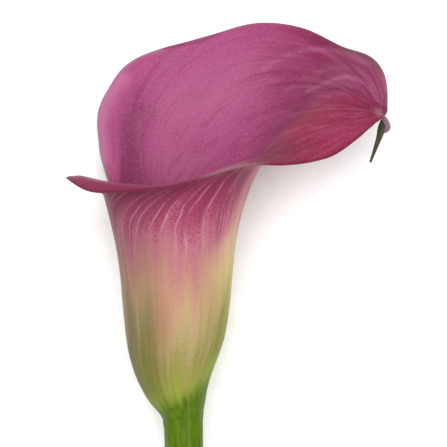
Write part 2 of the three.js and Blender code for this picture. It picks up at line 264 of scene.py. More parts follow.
across_line = np.linspace(0, len(RIBS) - 1, COLUMNS + 1)
tube_line = np.arange(TUBE_ROWS) / TUBE_ROWS
limb_line = 1 + np.arange(LIMB_ROWS + 1) / LIMB_ROWS
across, along = np.meshgrid(across_line, np.concatenate([tube_line, limb_line]))
leaf_angle = smooth_rows(rib_rows, across)[..., 0]
trim = CORNER_TRIM * stretch(leaf_angle, *CORNER_ANGLES)
leaf = spathe_middle(across, np.where(along > 1, 1 + (along - 1) * (1 - trim), along))
print("leaf grid", leaf.shape[:2], "from", leaf.min((0, 1)).round(1), "to", leaf.max((0, 1)).round(1))

# %% [markdown]
# ## The collar that joins leaf and stem
#
# On the real flower the leaf grows out of the stem, with no seam. The two are separate pieces here,
# so the leaf gets a thin collar that runs on below its base and closes in on the stem. The inner lap
# of the roll ends inside the stem, where it can't be seen.

# %% Adding the collar rows
COLLAR_DEPTH = 2.5
COLLAR_ROWS = 6
COLLAR_SINK = 0.16
HIDDEN_LAP = (-127, -112)
HIDDEN_LAP_SINK = 0.3
CLOSING_POWER = 1.6
STEM_TOP_X = -0.3
STEM_TOP_RADIUS = 5.26

depth = np.linspace(1, 0, COLLAR_ROWS, endpoint=False)[:, None]
base_turn = np.radians(leaf_angle[0])
sunk = COLLAR_SINK + HIDDEN_LAP_SINK * (1 - ease(leaf_angle[0], *HIDDEN_LAP))
closing = 1 - (1 - depth) ** CLOSING_POWER
on_stem_x = STEM_TOP_X + (STEM_TOP_RADIUS - sunk) * np.cos(base_turn)
on_stem_z = (STEM_TOP_RADIUS - sunk) * np.sin(base_turn)
collar_x = leaf[0, :, 0] + (on_stem_x - leaf[0, :, 0]) * closing
collar_z = leaf[0, :, 2] + (on_stem_z - leaf[0, :, 2]) * closing
collar_y = np.broadcast_to(SEAT_GAP - COLLAR_DEPTH * depth, collar_x.shape)
leaf = np.vstack([np.stack([collar_x, collar_y, collar_z], -1), leaf])
along = np.vstack([np.repeat(-depth, COLUMNS + 1, axis=1), along])
across = np.vstack([across[:COLLAR_ROWS], across])
leaf_angle = np.vstack([leaf_angle[:COLLAR_ROWS], leaf_angle])
print("collar from", collar_y.min(), "mm to", SEAT_GAP, "mm")

# %% [markdown]
# ## Places on the flower as the viewer sees them
#
# Folds and patches of colour are easiest to place where they are seen. The first functions turn
# pixels of the picture, and points of the flower, to millimetres in one plane through the stem. The
# veins of the limb start in the throat and come together at the tail. Circles through two points do
# the same, so the angle at which a point sees the throat and the tail is the same all along one vein.

# %% The viewer's plane and the fan of veins
CAMERA_DISTANCE = 600.0
PICTURE_CENTRE = np.array([10.27, 49.01])
MM_PER_PIXEL = 0.26
STEM_JOINT_PIXEL = (184, 412)
THROAT_PIXEL = (165, 240)
TAIL_PIXEL = (383, 116)
LINE_POINTS = 60
NEAREST_TO_TAIL = 0.2


def pixel_place(pixels):
    """Pixels of the 447 x 447 picture as millimetres in the plane of the stem."""
    return (np.asarray(pixels, float) - STEM_JOINT_PIXEL) * (MM_PER_PIXEL, -MM_PER_PIXEL)


def seen_at(points):
    """Where points of the standing flower appear in the plane of the stem."""
    nearer = CAMERA_DISTANCE / (CAMERA_DISTANCE - points[..., 2:3])
    return PICTURE_CENTRE + (points[..., :2] - PICTURE_CENTRE) * nearer


seen = seen_at(leaf)


def near_line(pixels, wide):
    """1 where the leaf is seen on a line through pixels, less beside it, over a width in pixels."""
    away = np.full(seen.shape[:2], np.inf)
    for point in smooth_rows(pixel_place(pixels), np.linspace(0, len(pixels) - 1, LINE_POINTS)):
        away = np.minimum(away, np.linalg.norm(seen - point, axis=-1))
    return np.exp(-((away / (wide * MM_PER_PIXEL)) ** 2))


from_throat = (seen - pixel_place(THROAT_PIXEL)) @ [1, 1j]
to_tail = (pixel_place(TAIL_PIXEL) - seen) @ [1, 1j]
ratio = from_throat / np.where(np.abs(to_tail) < NEAREST_TO_TAIL, NEAREST_TO_TAIL, to_tail)
fan_angle = np.angle(ratio)
fan_reach = np.log(np.maximum(np.abs(ratio), 1e-3))
print("vein fan", fan_angle.min().round(2), fan_angle.max().round(2))

# %% [markdown]
# ## Pleats, a crease and soft waves
#
# A living leaf is never quite smooth. Near the tail the limb gathers in pleats. One crease runs over
# the top of the limb to the tail, and the whole limb waves a little. These are shapes that catch the
# light, so they move the surface itself and aren't left to a bump map.

# %% Relief of the leaf
TAIL_RIB = 16
PLEAT_HEIGHT = 0.28
PLEAT_REACH = 11.0
PLEAT_START = 2.5
PLEATS_IN_FAN = 13
CREASE_HEIGHT = 0.3
CREASE_WIDTH = 3.2
CREASE_PIXELS = [
    (262, 70), (276, 61), (290, 55), (308, 51), (324, 51), (342, 55), (359, 61), (369, 67), (375, 76),
    (379, 88), (382, 104),
]
CREASE_FAN_REACH = (-0.2, 0.6)
WAVE_HEIGHT = 0.22
FAR_SIDE_END = (10, 24)
RELIEF_START = (1.0, 1.5)

tail_root = spathe_middle(np.array([TAIL_RIB]), np.array([2.0]))[0]
from_tail = np.linalg.norm(leaf - tail_root, axis=-1)
pleat_fade = np.exp(-((from_tail / PLEAT_REACH) ** 2)) * (1 - np.exp(-((from_tail / PLEAT_START) ** 2)))
pleats = PLEAT_HEIGHT * pleat_fade * np.cos(PLEATS_IN_FAN * fan_angle)
far_side = 1 - ease(leaf_angle, *FAR_SIDE_END)
crease = -CREASE_HEIGHT * near_line(CREASE_PIXELS, CREASE_WIDTH) * far_side
crease = crease * ease(fan_reach, *CREASE_FAN_REACH)
# Two waves, 32 mm and 27 mm long, that cross each other
waves = np.sin(0.16 * leaf[..., 0] + 0.11 * leaf[..., 1] + 1.0) * np.sin(0.23 * leaf[..., 1] + 0.4)
relief = ease(along, *RELIEF_START) * (pleats + crease + WAVE_HEIGHT * waves)


def outward_of(grid):
    """Directions out of a grid of points whose rows climb and whose columns turn round."""
    return unit(np.cross(np.gradient(grid, axis=0), np.gradient(grid, axis=1)))


leaf = leaf + outward_of(leaf) * relief[..., None]
print("relief from", relief.min().round(2), "to", relief.max().round(2), "mm")

# %% [markdown]
# ## The lip and the near margin
#
# The rim that turns towards the viewer makes the flower's clearest outlines: the crest of the near
# lip, and the margin that runs up to the tail. A rib table catches such a line to about a
# millimetre. More ribs would make the leaf bumpy, so the points near these two lines are drawn
# softly to the line on which the outline is seen.

# %% Drawing the leaf to its outlines
LIP_CREST_PIXELS = [
    (60, 177), (68, 175.8), (80, 176), (90, 178.6), (100, 181), (112, 183), (130, 184.6), (150, 185.6),
    (165, 185.2), (180, 182.6), (190, 179.6),
]
TAIL_MARGIN_PIXELS = [
    (326, 160), (337, 155), (345, 149), (352, 143.4), (360, 136.4), (366, 130.6), (372, 125.4),
    (378, 120.4), (383, 116.5), (388, 112),
]
LIP_ANGLES = (92, 118), (188, 196)
LIP_START = (1.0, 1.3)
BESIDE_TAIL_ANGLES = (-12, -3), (30, 46)
BESIDE_TAIL_START = (1.5, 1.8)
CREST_SOFTNESS = 0.8


def over_line(pixels, up):
    """How far the leaf must move up or down the picture to stay softly on one side of a line."""
    line_x, line_y = pixel_place(pixels).T
    here = seen_at(leaf)
    over = (here[..., 1] - np.interp(here[..., 0], line_x, line_y)) * up + CREST_SOFTNESS
    over = np.maximum(over, 0)
    return (CREST_SOFTNESS * (1 - np.exp(-over / CREST_SOFTNESS)) - over) * up


on_lip = stretch(leaf_angle, *LIP_ANGLES) * ease(along, *LIP_START)
by_tail = stretch(leaf_angle, *BESIDE_TAIL_ANGLES) * ease(along, *BESIDE_TAIL_START)
drawn = over_line(LIP_CREST_PIXELS, 1) * on_lip + over_line(TAIL_MARGIN_PIXELS, -1) * by_tail
leaf[..., 1] += drawn
print("crest drawn down by", (-drawn).max().round(2), "mm, margin up by", drawn.max().round(2), "mm")

# %% [markdown]
# ## From a surface to a closed leaf
#
# A spathe is thick at its base and thin at its margin, and the margin is round, not cut square. The
# Solidify modifier gives one thickness and square edges, so the two skins are made here, and five
# strips of faces carry the surface round the margin from one skin to the other. The tube's wall is a
# little thinner than in the solid, and so is the sharp bend of the far rim, so that the fine mesh
# doesn't run through itself. The parts that rest on the table are squeezed a little, as soft tissue
# is.

# %% Two skins of the leaf
THICK_TUBE = 1.0
THICK_RIM = 0.66
THICK_COLLAR_EDGE = 0.12
SIDE_THINNING = (0, 1.2)
BEND_SHARE = 0.75
BEND_START = 1.5
ROOM_STEP = 0.02

thickness = THICK_TUBE + (THICK_RIM - THICK_TUBE) * np.clip(along - 1, 0, 1)
thickness = np.where(along < 0, THICK_TUBE + (THICK_TUBE - THICK_COLLAR_EDGE) * along, thickness)
from_side = np.minimum(across, len(RIBS) - 1 - across)
half = thickness / 2 * (0.5 + 0.5 * ease(from_side, *SIDE_THINNING))
outward = outward_of(leaf)

# Where the leaf bends sharply, half its thickness stays under the radius of the bend
turning = np.linalg.norm(np.diff(outward, axis=0), axis=-1)
radius = np.linalg.norm(np.diff(leaf, axis=0), axis=-1) / np.maximum(turning, 1e-6)
room = BEND_SHARE * np.minimum(np.vstack([radius, radius[-1:]]), np.vstack([radius[:1], radius]))
for _ in range(2):
    room = np.minimum(room, np.vstack([room[:1], room[:-1]]) + ROOM_STEP)
    room = np.minimum(room, np.vstack([room[1:], room[-1:]]) + ROOM_STEP)
half = np.where(along > BEND_START, np.minimum(half, room), half)
outer = leaf + outward * half[..., None]
inner = leaf - outward * half[..., None]
print("half thickness", half.min().round(2), "to", half.max().round(2), "mm")

# %% A rounded margin
MARGIN_STRIPS = 5

rows, columns = leaf.shape[:2]
up_first = [(row, 0) for row in range(rows - 1)]
over_rim = [(rows - 1, column) for column in range(columns)]
down_last = [(row, columns - 1) for row in range(rows - 2, -1, -1)]
margin = np.array(up_first + over_rim + down_last)
ahead = np.zeros_like(leaf)
ahead[:, 0] += unit(leaf[:, 0] - leaf[:, 1])
ahead[:, -1] += unit(leaf[:, -1] - leaf[:, -2])
ahead[-1] += unit(leaf[-1] - leaf[-2])
at_margin = tuple(margin.T)
margin_out = outward[at_margin]
margin_ahead = ahead[at_margin]
margin_ahead = unit(margin_ahead - margin_out * (margin_ahead * margin_out).sum(-1, keepdims=True))
rings = []
for strip in range(1, MARGIN_STRIPS):
    turn = math.pi / 2 - math.pi * strip / MARGIN_STRIPS
    swing = margin_out * math.sin(turn) + margin_ahead * math.cos(turn)
    rings.append(leaf[at_margin] + swing * half[at_margin][:, None])
print("margin of", len(margin), "points")

# %% Squeezing the leaf where it rests
SQUEEZE_HEIGHT = 1.5 * MM

skins = [lay_down(outer), lay_down(inner), *(lay_down(ring) for ring in rings)]
lowest = min(points[..., 2].min() for points in skins)
for points in skins:
    share = (points[..., 2] - lowest) / (SQUEEZE_HEIGHT - lowest)
    points[..., 2] = np.where(share < 1, share * SQUEEZE_HEIGHT, points[..., 2])
outer_lying, inner_lying, *rings_lying = skins
print("lowest point came up by", (-1000 * lowest).round(2), "mm")

# %% Faces of the leaf
skin = rows * columns
corner = (np.arange(rows - 1)[:, None] * columns + np.arange(columns - 1)).ravel()
outer_faces = np.stack([corner, corner + columns, corner + columns + 1, corner + 1], -1)
inner_faces = outer_faces[:, ::-1] + skin
outer_line = margin[:, 0] * columns + margin[:, 1]
ring_starts = 2 * skin + np.arange(MARGIN_STRIPS - 1) * len(margin)
ring_lines = [start + np.arange(len(margin)) for start in ring_starts]
lines = [outer_line, *ring_lines, outer_line + skin]
faces = [*outer_faces.tolist(), *inner_faces.tolist()]
for near, far in zip(lines[:-1], lines[1:]):
    faces += np.stack([near[:-1], far[:-1], far[1:], near[1:]], -1).tolist()
bottom = np.arange(columns - 1)
faces += np.stack([bottom, bottom + 1, bottom + 1 + skin, bottom + skin], -1).tolist()
faces.append([int(line[0]) for line in reversed(lines)])
faces.append([int(line[-1]) for line in lines])
leaf_points = np.vstack([outer_lying.reshape(-1, 3), inner_lying.reshape(-1, 3), *rings_lying])
print(len(leaf_points), "points and", len(faces), "faces")

# %% [markdown]
# ## Marks that the finish follows
#
# Colour on a spathe follows the way it grew: pink creeps down from the rim, green climbs from the
# stem, and veins run lengthwise. So every point of the mesh carries a few numbers for the material:
# which skin it is on, how far it is from the margin, how far above or below the line of the blush,
# and its place among the veins. A picture could be painted for this, but numbers on the mesh need no
# unwrapping and stay sharp from every side.

# %% Lines between the colours of the outside
# Angle round the tube, and the height at which cream turns to pink there
BLUSH_LINE = [
    (-215, 44), (-150, 44), (-60, 46), (-10, 54), (8, 57), (22, 46), (45, 30.5), (60, 30), (75, 29),
    (90, 29.5), (103, 28.8), (115, 33.5), (130, 31.5), (150, 31.5), (170, 34.5), (230, 40),
]
# Sideways place, and the height at which the stem's green gives way to yellow
GREEN_LINE = [(-9, -0.2), (-5.5, 1.7), (0, 4.0), (5.5, 8.6), (9, 12)]
BLUSH_SPAN = 35.0
SUNNY_TOP = 60.0
# How far streaks and flecks carry each of these lines up and down: the first two as shares of their
# spans, the last in millimetres
STREAK_CARRY = 26.0
FLECK_CARRY = 20.0
WAVERING = {
    "blush_line": (STREAK_CARRY / (2 * BLUSH_SPAN), FLECK_CARRY / (2 * BLUSH_SPAN)),
    "sunny_line": (STREAK_CARRY / SUNNY_TOP, 0.0),
    "green_line": (7.0, 2.5),
}

height = leaf[..., 1]
blush = height - np.interp(leaf_angle, *np.transpose(BLUSH_LINE))
marks = {
    "blush_line": (blush + BLUSH_SPAN) / (2 * BLUSH_SPAN),
    "sunny_line": height / SUNNY_TOP,
    "green_line": np.interp(leaf[..., 0], *np.transpose(GREEN_LINE)) - height,
}
for name, (by_streaks, by_flecks) in WAVERING.items():
    marks[name] = marks[name] - (by_streaks + by_flecks) / 2
print("blush", blush.min().round(), blush.max().round())

# %% Places among the veins, and the way to the margin
# Veins of the tube spread less at the rim than the ribs do, and keep near this one
STRAIGHT_VEIN = 66
VEIN_SPREAD = 0.85
SPREAD_ALONG = (0.8, 2.0)
VEIN_SPACING = 13.0

vein = STRAIGHT_VEIN + (leaf_angle - STRAIGHT_VEIN) * (1 + VEIN_SPREAD * ease(along, *SPREAD_ALONG))
zero = np.zeros_like(vein)
marks["vein_place"] = np.stack([vein, height, zero], -1)
marks["fan_place"] = np.stack([fan_angle, fan_reach, zero], -1)
marks["vein_number"] = vein / VEIN_SPACING

steps_up = np.linalg.norm(np.diff(leaf, axis=0), axis=-1)
to_rim = np.vstack([np.cumsum(steps_up[::-1], axis=0)[::-1], np.zeros((1, columns))])
steps_round = np.linalg.norm(np.diff(leaf, axis=1), axis=-1)
to_first = np.hstack([np.zeros((rows, 1)), np.cumsum(steps_round, axis=1)])
to_last = to_first[:, -1:] - to_first
to_margin = np.minimum(to_rim, np.minimum(to_first, to_last))
print("widest way to the margin", to_margin.max().round(), "mm")

# %% Patches of the outer skin
# Spans of height over the blush's line, in millimetres, in which one thing gives way to the next
VEINS_APPEAR = (8, 19)
THREADS_FADE = (-6, 10)
TUBE_SHADE_TURNS_PINK = (-4, 10)
VEIN_COVER = 0.46
# Painted shade on the low, shadowed side of the tube: angles where it starts and ends
TUBE_SHADE_ANGLES = (84, 128), (184, 212)
# Its cover, what it gains low on the tube and towards the edge, and its share near the stem
TUBE_SHADE_COVER = 0.36
TUBE_SHADE_GAIN = 0.2
TUBE_SHADE_LOW = (20, 38)
TUBE_SHADE_EDGE = (136, 154)
TUBE_SHADE_AT_STEM = 0.4
NEAR_STEM = (1, 7)
ROSY_ANGLE, ROSY_WIDE = 106, 14
ROSY_HEIGHT, ROSY_HIGH = 25, 9
SUNNY_ANGLE, SUNNY_CORE = 10, 12
SUNNY_HEIGHTS = (8, 18), (56, 64)
# Degrees that the sunny side reaches to high up and low down, and the heights between
SUNNY_REACHES = (30, 64)
SUNNY_NARROWS = (38, 50)

marks["veins"] = VEIN_COVER * ease(blush, *VEINS_APPEAR)
marks["below_blush"] = 1 - ease(blush, *THREADS_FADE)
marks["painted_tube_shade_pink"] = ease(blush, *TUBE_SHADE_TURNS_PINK)
tube_shade_more = 1 - ease(height, *TUBE_SHADE_LOW) + ease(leaf_angle, *TUBE_SHADE_EDGE)
painted_tube_shade = TUBE_SHADE_COVER + TUBE_SHADE_GAIN * tube_shade_more
painted_tube_shade *= TUBE_SHADE_AT_STEM + (1 - TUBE_SHADE_AT_STEM) * ease(height, *NEAR_STEM)
marks["painted_tube_shade"] = painted_tube_shade * stretch(leaf_angle, *TUBE_SHADE_ANGLES)
round_rosy = (leaf_angle - ROSY_ANGLE) / ROSY_WIDE
marks["rosy"] = np.exp(-(round_rosy**2) - ((height - ROSY_HEIGHT) / ROSY_HIGH) ** 2)
reach_high, reach_low = SUNNY_REACHES
sunny_reach = reach_low + (reach_high - reach_low) * ease(height, *SUNNY_NARROWS)
sunny = 1 - ease(np.abs(leaf_angle - SUNNY_ANGLE), SUNNY_CORE, sunny_reach)
marks["sunny"] = sunny * stretch(height, *SUNNY_HEIGHTS)
print("sunny up to", marks["sunny"].max().round(2), "weathered up to", marks["painted_tube_shade"].max().round(2))

# %% [markdown]
# ## Patches and streaks of the inner skin
#
# Inside the limb the colour goes from mauve on the left to a deep crimson where the near side folds
# over, and darkens towards the right. The crimson, the dark by the fold and along the far rim, a
# shadow band on the fold and the dark of the valley on the left are painted shade; pale patches and
# a strip by the left margin are painted highlights, and a brighter patch in the crimson is painted
# light. Thin light lines run to the tail. Noise alone can't put these in their places. They are soft
# ovals and lines, placed where the viewer sees them, and the mesh keeps them, so that they stay on the
# leaf when the view changes.

# %% Where the near side folds over the far side, as the viewer sees it
FOLD_PIXELS = [
    (236, 167), (256, 161), (268, 150), (280, 138), (294, 124), (308, 110), (325, 101), (350, 98),
    (384, 108),
]
FOLD_SOFTNESS = (-2.0, 1.6)
FOLD_START = 4.0
CRIMSON_SHADE_COVER = 0.95
DARKER_RIGHT_COLUMNS = (215, 330)
ON_LIMB = (1.3, 1.55)

fold_x, fold_y = pixel_place(FOLD_PIXELS).T
below_fold = np.interp(seen[..., 0], fold_x, fold_y) - seen[..., 1]
past_fold = ease(seen[..., 0], fold_x[0], fold_x[0] + FOLD_START)
on_limb = ease(along, *ON_LIMB)
# Painted shade: the near side below the fold turns down from the light and is painted crimson
crimson_fold_shade = ease(below_fold, *FOLD_SOFTNESS) * past_fold * on_limb
marks["crimson_fold_shade"] = CRIMSON_SHADE_COVER * crimson_fold_shade
# Darker towards the right of the limb, as the viewer sees it
column = seen[..., 0] / MM_PER_PIXEL + STEM_JOINT_PIXEL[0]
marks["darker_right"] = ease(column, *DARKER_RIGHT_COLUMNS)
print("crimson up to", crimson_fold_shade.max().round(2))

# %% Velvet, fan streaks and the painted shade inside the lip
VELVET_COVERS = (0.3, 0.12)
FAN_COVERS = (0.25, 0.6)
FAN_SPAN = (-0.5, 1.4)
LIP_DEPTH = (4.6, 2.8)
DARK_LIP_ANGLES = (78, 110), (190, 202)
DARK_LIP_START = (1.2, 1.5)
LIP_COVER = 0.9
ABOVE_TUBE = (30, 48)

velvet_paler, velvet_finer = VELVET_COVERS
richest = np.maximum(marks["darker_right"], crimson_fold_shade)
marks["velvet"] = velvet_paler + (velvet_finer - velvet_paler) * ease(richest, 0, 1)
marks["fan_cover"] = FAN_COVERS[0] + (FAN_COVERS[1] - FAN_COVERS[0]) * ease(fan_reach, *FAN_SPAN)
# Painted shade inside the lip, whose rolled face turns down from the light
lip = ease(to_margin, *LIP_DEPTH) * stretch(leaf_angle, *DARK_LIP_ANGLES)
marks["lip"] = LIP_COVER * lip * ease(along, *DARK_LIP_START)
marks["above_tube"] = ease(height, *ABOVE_TUBE)
print("fan streaks cover up to", marks["fan_cover"].max().round(2))

# %% Soft patches of the inner skin
# Strength, place in pixels, half width and half height in pixels, lean in degrees
PATCHES = {
    # Painted highlights on the limb
    "painted_highlight": [
        (0.64, (204, 98), 66, 36, 26), (0.384, (178, 160), 36, 18, 0), (0.384, (176, 60), 32, 12, 22),
        (0.32, (342, 89), 16, 9, 0),
    ],
    # Painted shade by the fold and by the tail
    "painted_shade": [(0.88, (276, 155), 32, 11, 14), (0.68, (360, 110), 26, 8, 0)],
    # Painted light: a brighter patch in the crimson of the near fold
    "painted_glow": [(0.6, (340, 137), 26, 13, 28)],
}


def soft_oval(strength, middle, wide, high, lean):
    """A soft oval on the leaf, as the viewer sees it."""
    across_x, up_y = np.moveaxis((seen - pixel_place(middle)) / MM_PER_PIXEL, -1, 0)
    turn = math.radians(lean)
    level = (across_x * math.cos(turn) + up_y * math.sin(turn)) / wide
    upright = (up_y * math.cos(turn) - across_x * math.sin(turn)) / high
    return strength * np.exp(-(level**2) - upright**2)


patches = {name: np.max([soft_oval(*oval) for oval in ovals], axis=0) for name, ovals in PATCHES.items()}
marks["painted_highlight"] = patches["painted_highlight"]
marks["painted_glow"] = patches["painted_glow"] * on_limb
print("patches:", ", ".join(patches))

# %% Streaks and edges of the inner skin
RIGHT_EDGE_PIXELS = [
    (306, 28), (318, 33), (330, 41), (342, 47), (354, 51), (366, 55), (375, 60), (383, 71), (386, 86),
    (386, 104),
]
LEFT_EDGE_PIXELS = [(96, 150), (94, 130), (97, 108), (106, 87), (122, 69), (142, 56), (160, 50)]
# Strength, half width in pixels, and the pixels that the line goes through
STREAKS = {
    # Painted highlight on the lit crest by the left margin
    "strip": (0.6, 7.5, [(104, 160), (101, 132), (104, 108), (112, 92), (123, 78)]),
    # Painted shade in the valley left of the throat
    "valley_shade": (0.62, 15, [(134, 190), (131, 168), (129, 144), (132, 126), (139, 112)]),
    # Painted shadow along the fold
    "fold_shadow_band": (0.27, 10, [(238, 160), (242, 144), (246, 128), (253, 112), (266, 98), (286, 88)]),
    # Painted shade below the fold and along the far right rim
    "painted_shade": (0.8, 2.6, [(304, 99), (322, 93), (342, 90), (362, 95), (376, 105)]),
    "shade_by_edge": (0.72, 9, RIGHT_EDGE_PIXELS),
    "light": (1.0, 1.7, [(308, 92), (328, 84), (343, 79), (358, 81), (369, 89), (378, 102)]),
    "upper": (0.35, 2.4, [(286, 92), (304, 80), (324, 72), (344, 69), (362, 75), (374, 88), (380, 100)]),
    "crease": (0.75, 2.1, CREASE_PIXELS),
    "left_edge": (1.0, 2.0, LEFT_EDGE_PIXELS),
    # Painted shade: thin dark lines where the rim curls away, along the top and the right
    "top_edge": (0.42, 1.6, [(150, 53), (172, 47), (196, 43), (214, 36), (232, 28), (248, 25)]),
    "right_edge": (0.6, 2.4, RIGHT_EDGE_PIXELS),
    "red_rim": (0.7, 5, [(383, 77), (384, 82), (385, 88)]),
    "tail_pleat": (0.75, 3.0, [(371, 108), (375, 110.5), (380, 115), (384, 119)]),
    "lip_edge": (0.4, 1.6, [(66, 177), (76, 177), (86, 179), (98, 181.5), (112, 184)]),
}
# Columns of the picture, angles and reach in the fan between which a streak starts or ends
SHADE_BY_EDGE_COLUMNS = (280, 345)
EDGE_COLUMNS = (305, 335)
EDGE_END_COLUMNS = (375, 381)
EDGE_END_LOSS = 0.8
LIP_EDGE_ANGLES = (130, 145)
PLEAT_FAN_REACH = (2.7, 3.8)

streaks = {}
for name, (strength, wide, pixels) in STREAKS.items():
    streaks[name] = strength * near_line(pixels, wide)
for name in ("strip", "valley_shade", "red_rim"):
    marks[name] = streaks[name] * far_side
marks["fold_shadow_band"] = streaks["fold_shadow_band"] * on_limb
# Painted shade by the fold, along the far right rim and by the tail
shade_by_edge = streaks["shade_by_edge"] * far_side * ease(column, *SHADE_BY_EDGE_COLUMNS)
marks["painted_shade"] = np.max([patches["painted_shade"], streaks["painted_shade"], shade_by_edge], axis=0) * on_limb
light_lines = [streaks[name] for name in ("light", "upper", "crease")]
marks["streak_lines"] = np.max(light_lines, axis=0) * far_side
# A thin line of painted shade where the rim curls away
right_edge = streaks["right_edge"] * ease(column, *EDGE_COLUMNS)
right_edge *= 1 - EDGE_END_LOSS * ease(column, *EDGE_END_COLUMNS)
marks["curl_shade_edge"] = np.maximum(streaks["top_edge"], right_edge) * far_side
lip_edge = streaks["lip_edge"] * ease(leaf_angle, *LIP_EDGE_ANGLES)
pleat_edge = streaks["tail_pleat"] * on_limb * ease(fan_reach, *PLEAT_FAN_REACH)
marks["pale_edge"] = np.max([streaks["left_edge"] * far_side, lip_edge, pleat_edge], axis=0)
print("streaks:", ", ".join(streaks))

# %% How pale the cut of the margin is, by the angle round the leaf
PALE_FAR_STEPS = (-110, -90), (-64, -44)
PALE_NEAR, PALE_NEAR_ANGLES = 0.7, ((62, 72), (92, 104))
PALE_LEFT, PALE_LEFT_ANGLES = 0.6, (164, 178)

pale_far = 1 - np.mean([ease(leaf_angle, *step) for step in PALE_FAR_STEPS], axis=0)
pale_near = PALE_NEAR * stretch(leaf_angle, *PALE_NEAR_ANGLES)
pale_left = PALE_LEFT * ease(leaf_angle, *PALE_LEFT_ANGLES)
marks["pale_margin"] = np.max([pale_far, pale_near, pale_left], axis=0)
print(len(marks), "marks ready")

# %% A mesh that carries its marks
def spread_over_leaf(values):
    """Grid values on both skins and on the strips of the margin."""
    flat = values.reshape(skin, *values.shape[2:])
    return np.concatenate([flat, flat, *([values[at_margin]] * (MARGIN_STRIPS - 1))])


def new_piece(name, points, face_list, carried=None):
    """A smooth mesh object at the origin, in metres, with a number or a place at each point."""
    mesh = bpy.data.meshes.new(name)
    mesh.from_pydata(np.asarray(points).tolist(), [], face_list)
    mesh.update()
    for mark, values in (carried or {}).items():
        kind, field = ("FLOAT", "value") if np.ndim(values) == 1 else ("FLOAT_VECTOR", "vector")
        mesh.attributes.new(mark, kind, "POINT").data.foreach_set(field, np.ravel(values))
    mesh.shade_smooth()
    piece = bpy.data.objects.new(name, mesh)
    bpy.context.scene.collection.objects.link(piece)
    return piece


on_strips = np.repeat(np.arange(1, MARGIN_STRIPS) / MARGIN_STRIPS, len(margin))
leaf_marks = {name: spread_over_leaf(values) for name, values in marks.items()}
leaf_marks["inside"] = np.concatenate([np.zeros(skin), np.ones(skin), on_strips])
leaf_marks["margin"] = spread_over_leaf(to_margin)
leaf_marks["margin"][2 * skin :] = 0
spathe = new_piece("spathe_leaf", leaf_points, faces, leaf_marks)
print(spathe.name, len(spathe.data.polygons), "faces")

# %% [markdown]
# ## Round pieces that follow a bent line
#
# The tail and the stem are both long, round and a little bent, with a radius that changes. A curve
# with a bevel would do, but its ends can't be cut on a slant or ridged, so one function lays rings
# of points along a smooth line and closes both ends.

# %% A tube with its own radius everywhere
def ringed_tube(line, sides, steps, ridge=None, shape=None):
    """Points, faces, turn and way along of a tube. Line rows are x, y, z and radius."""
    line = np.asarray(line, float)
    way = np.linspace(0, len(line) - 1, (len(line) - 1) * steps + 1)
    rows_here = smooth_rows(line, way)
    centre, radius = rows_here[:, :3], np.maximum(rows_here[:, 3], 0.02)
    forward = unit(np.gradient(centre, axis=0))
    side = unit(np.cross([0, 0, 1], forward))
    front = np.cross(forward, side)
    turn = np.arange(sides) / sides * 2 * math.pi
    reach = np.repeat(radius[:, None], sides, axis=1)
    if ridge is not None:
        reach = reach * (1 + ridge(turn[None, :], way[:, None]))
    sideways = side[:, None] * np.cos(turn)[None, :, None]
    frontways = front[:, None] * np.sin(turn)[None, :, None]
    points = centre[:, None] + reach[..., None] * (sideways + frontways)
    if shape is not None:
        points = shape(points, centre)
    here = np.arange(len(way) - 1)[:, None] * sides
    this, following = np.arange(sides), (np.arange(sides) + 1) % sides
    near, far = here + this, here + following
    quads = np.stack([near, far, far + sides, near + sides], -1).reshape(-1, 4).tolist()
    quads.append(np.arange(sides)[::-1].tolist())
    quads.append((np.arange(sides) + (len(way) - 1) * sides).tolist())
    turns, ways = np.meshgrid(turn, way)
    return points.reshape(-1, 3), quads, turns.ravel(), ways.ravel()


print("a short tube has", len(ringed_tube([(0, 0, 0, 1), (0, 1, 0, 1)], 8, 2)[1]), "faces")

# %% [markdown]
# ## The tail
#
# The midrib of the leaf runs out into a thin tail. On this flower it comes out of the rim as a
# pleated neck, bends over at a knob and hangs back as a dry, dark spike with a blunt tip. Neck and
# spike are two tubes in one mesh.

# %% Neck and spike
# Place and radius along each of the two tubes
NECK_ROOT_RADII = (0.2, 0.45, 0.65)
NECK_ROOT_ALONG = (1.96, 1.98, 2.0)
NECK_BEND = [
    (52.6, 75.3, -0.4, 0.75), (52.95, 74.1, 0, 0.72), (52.5, 73.3, 0.3, 0.62), (51.5, 72.9, 0.3, 0.45),
]
SPIKE = [
    (51.4, 75.9, -1.5, 0.3), (51.5, 75.1, -1.2, 0.75), (51.55, 74.2, -0.7, 1.02), (51.25, 72.9, 0, 0.98),
    (50.7, 71.2, 0.5, 0.76), (49.8, 68.8, 0.8, 0.55), (49.0, 66.6, 0.6, 0.4), (48.5, 65.2, 0.35, 0.3),
    (48.36, 64.85, 0.3, 0.12),
]
TAIL_SIDES = 28
NECK_DRYNESS = 0.55


def neck_pleats(turn, way):
    """Pleats that wind a little along the neck, as a share of its radius."""
    return 0.1 * np.cos(7 * turn + 0.4 * way)


def spike_grooves(turn, way):
    """Three shallow grooves of the spike, as a share of its radius."""
    return 0.08 * np.cos(3 * turn + 0.9 * way)


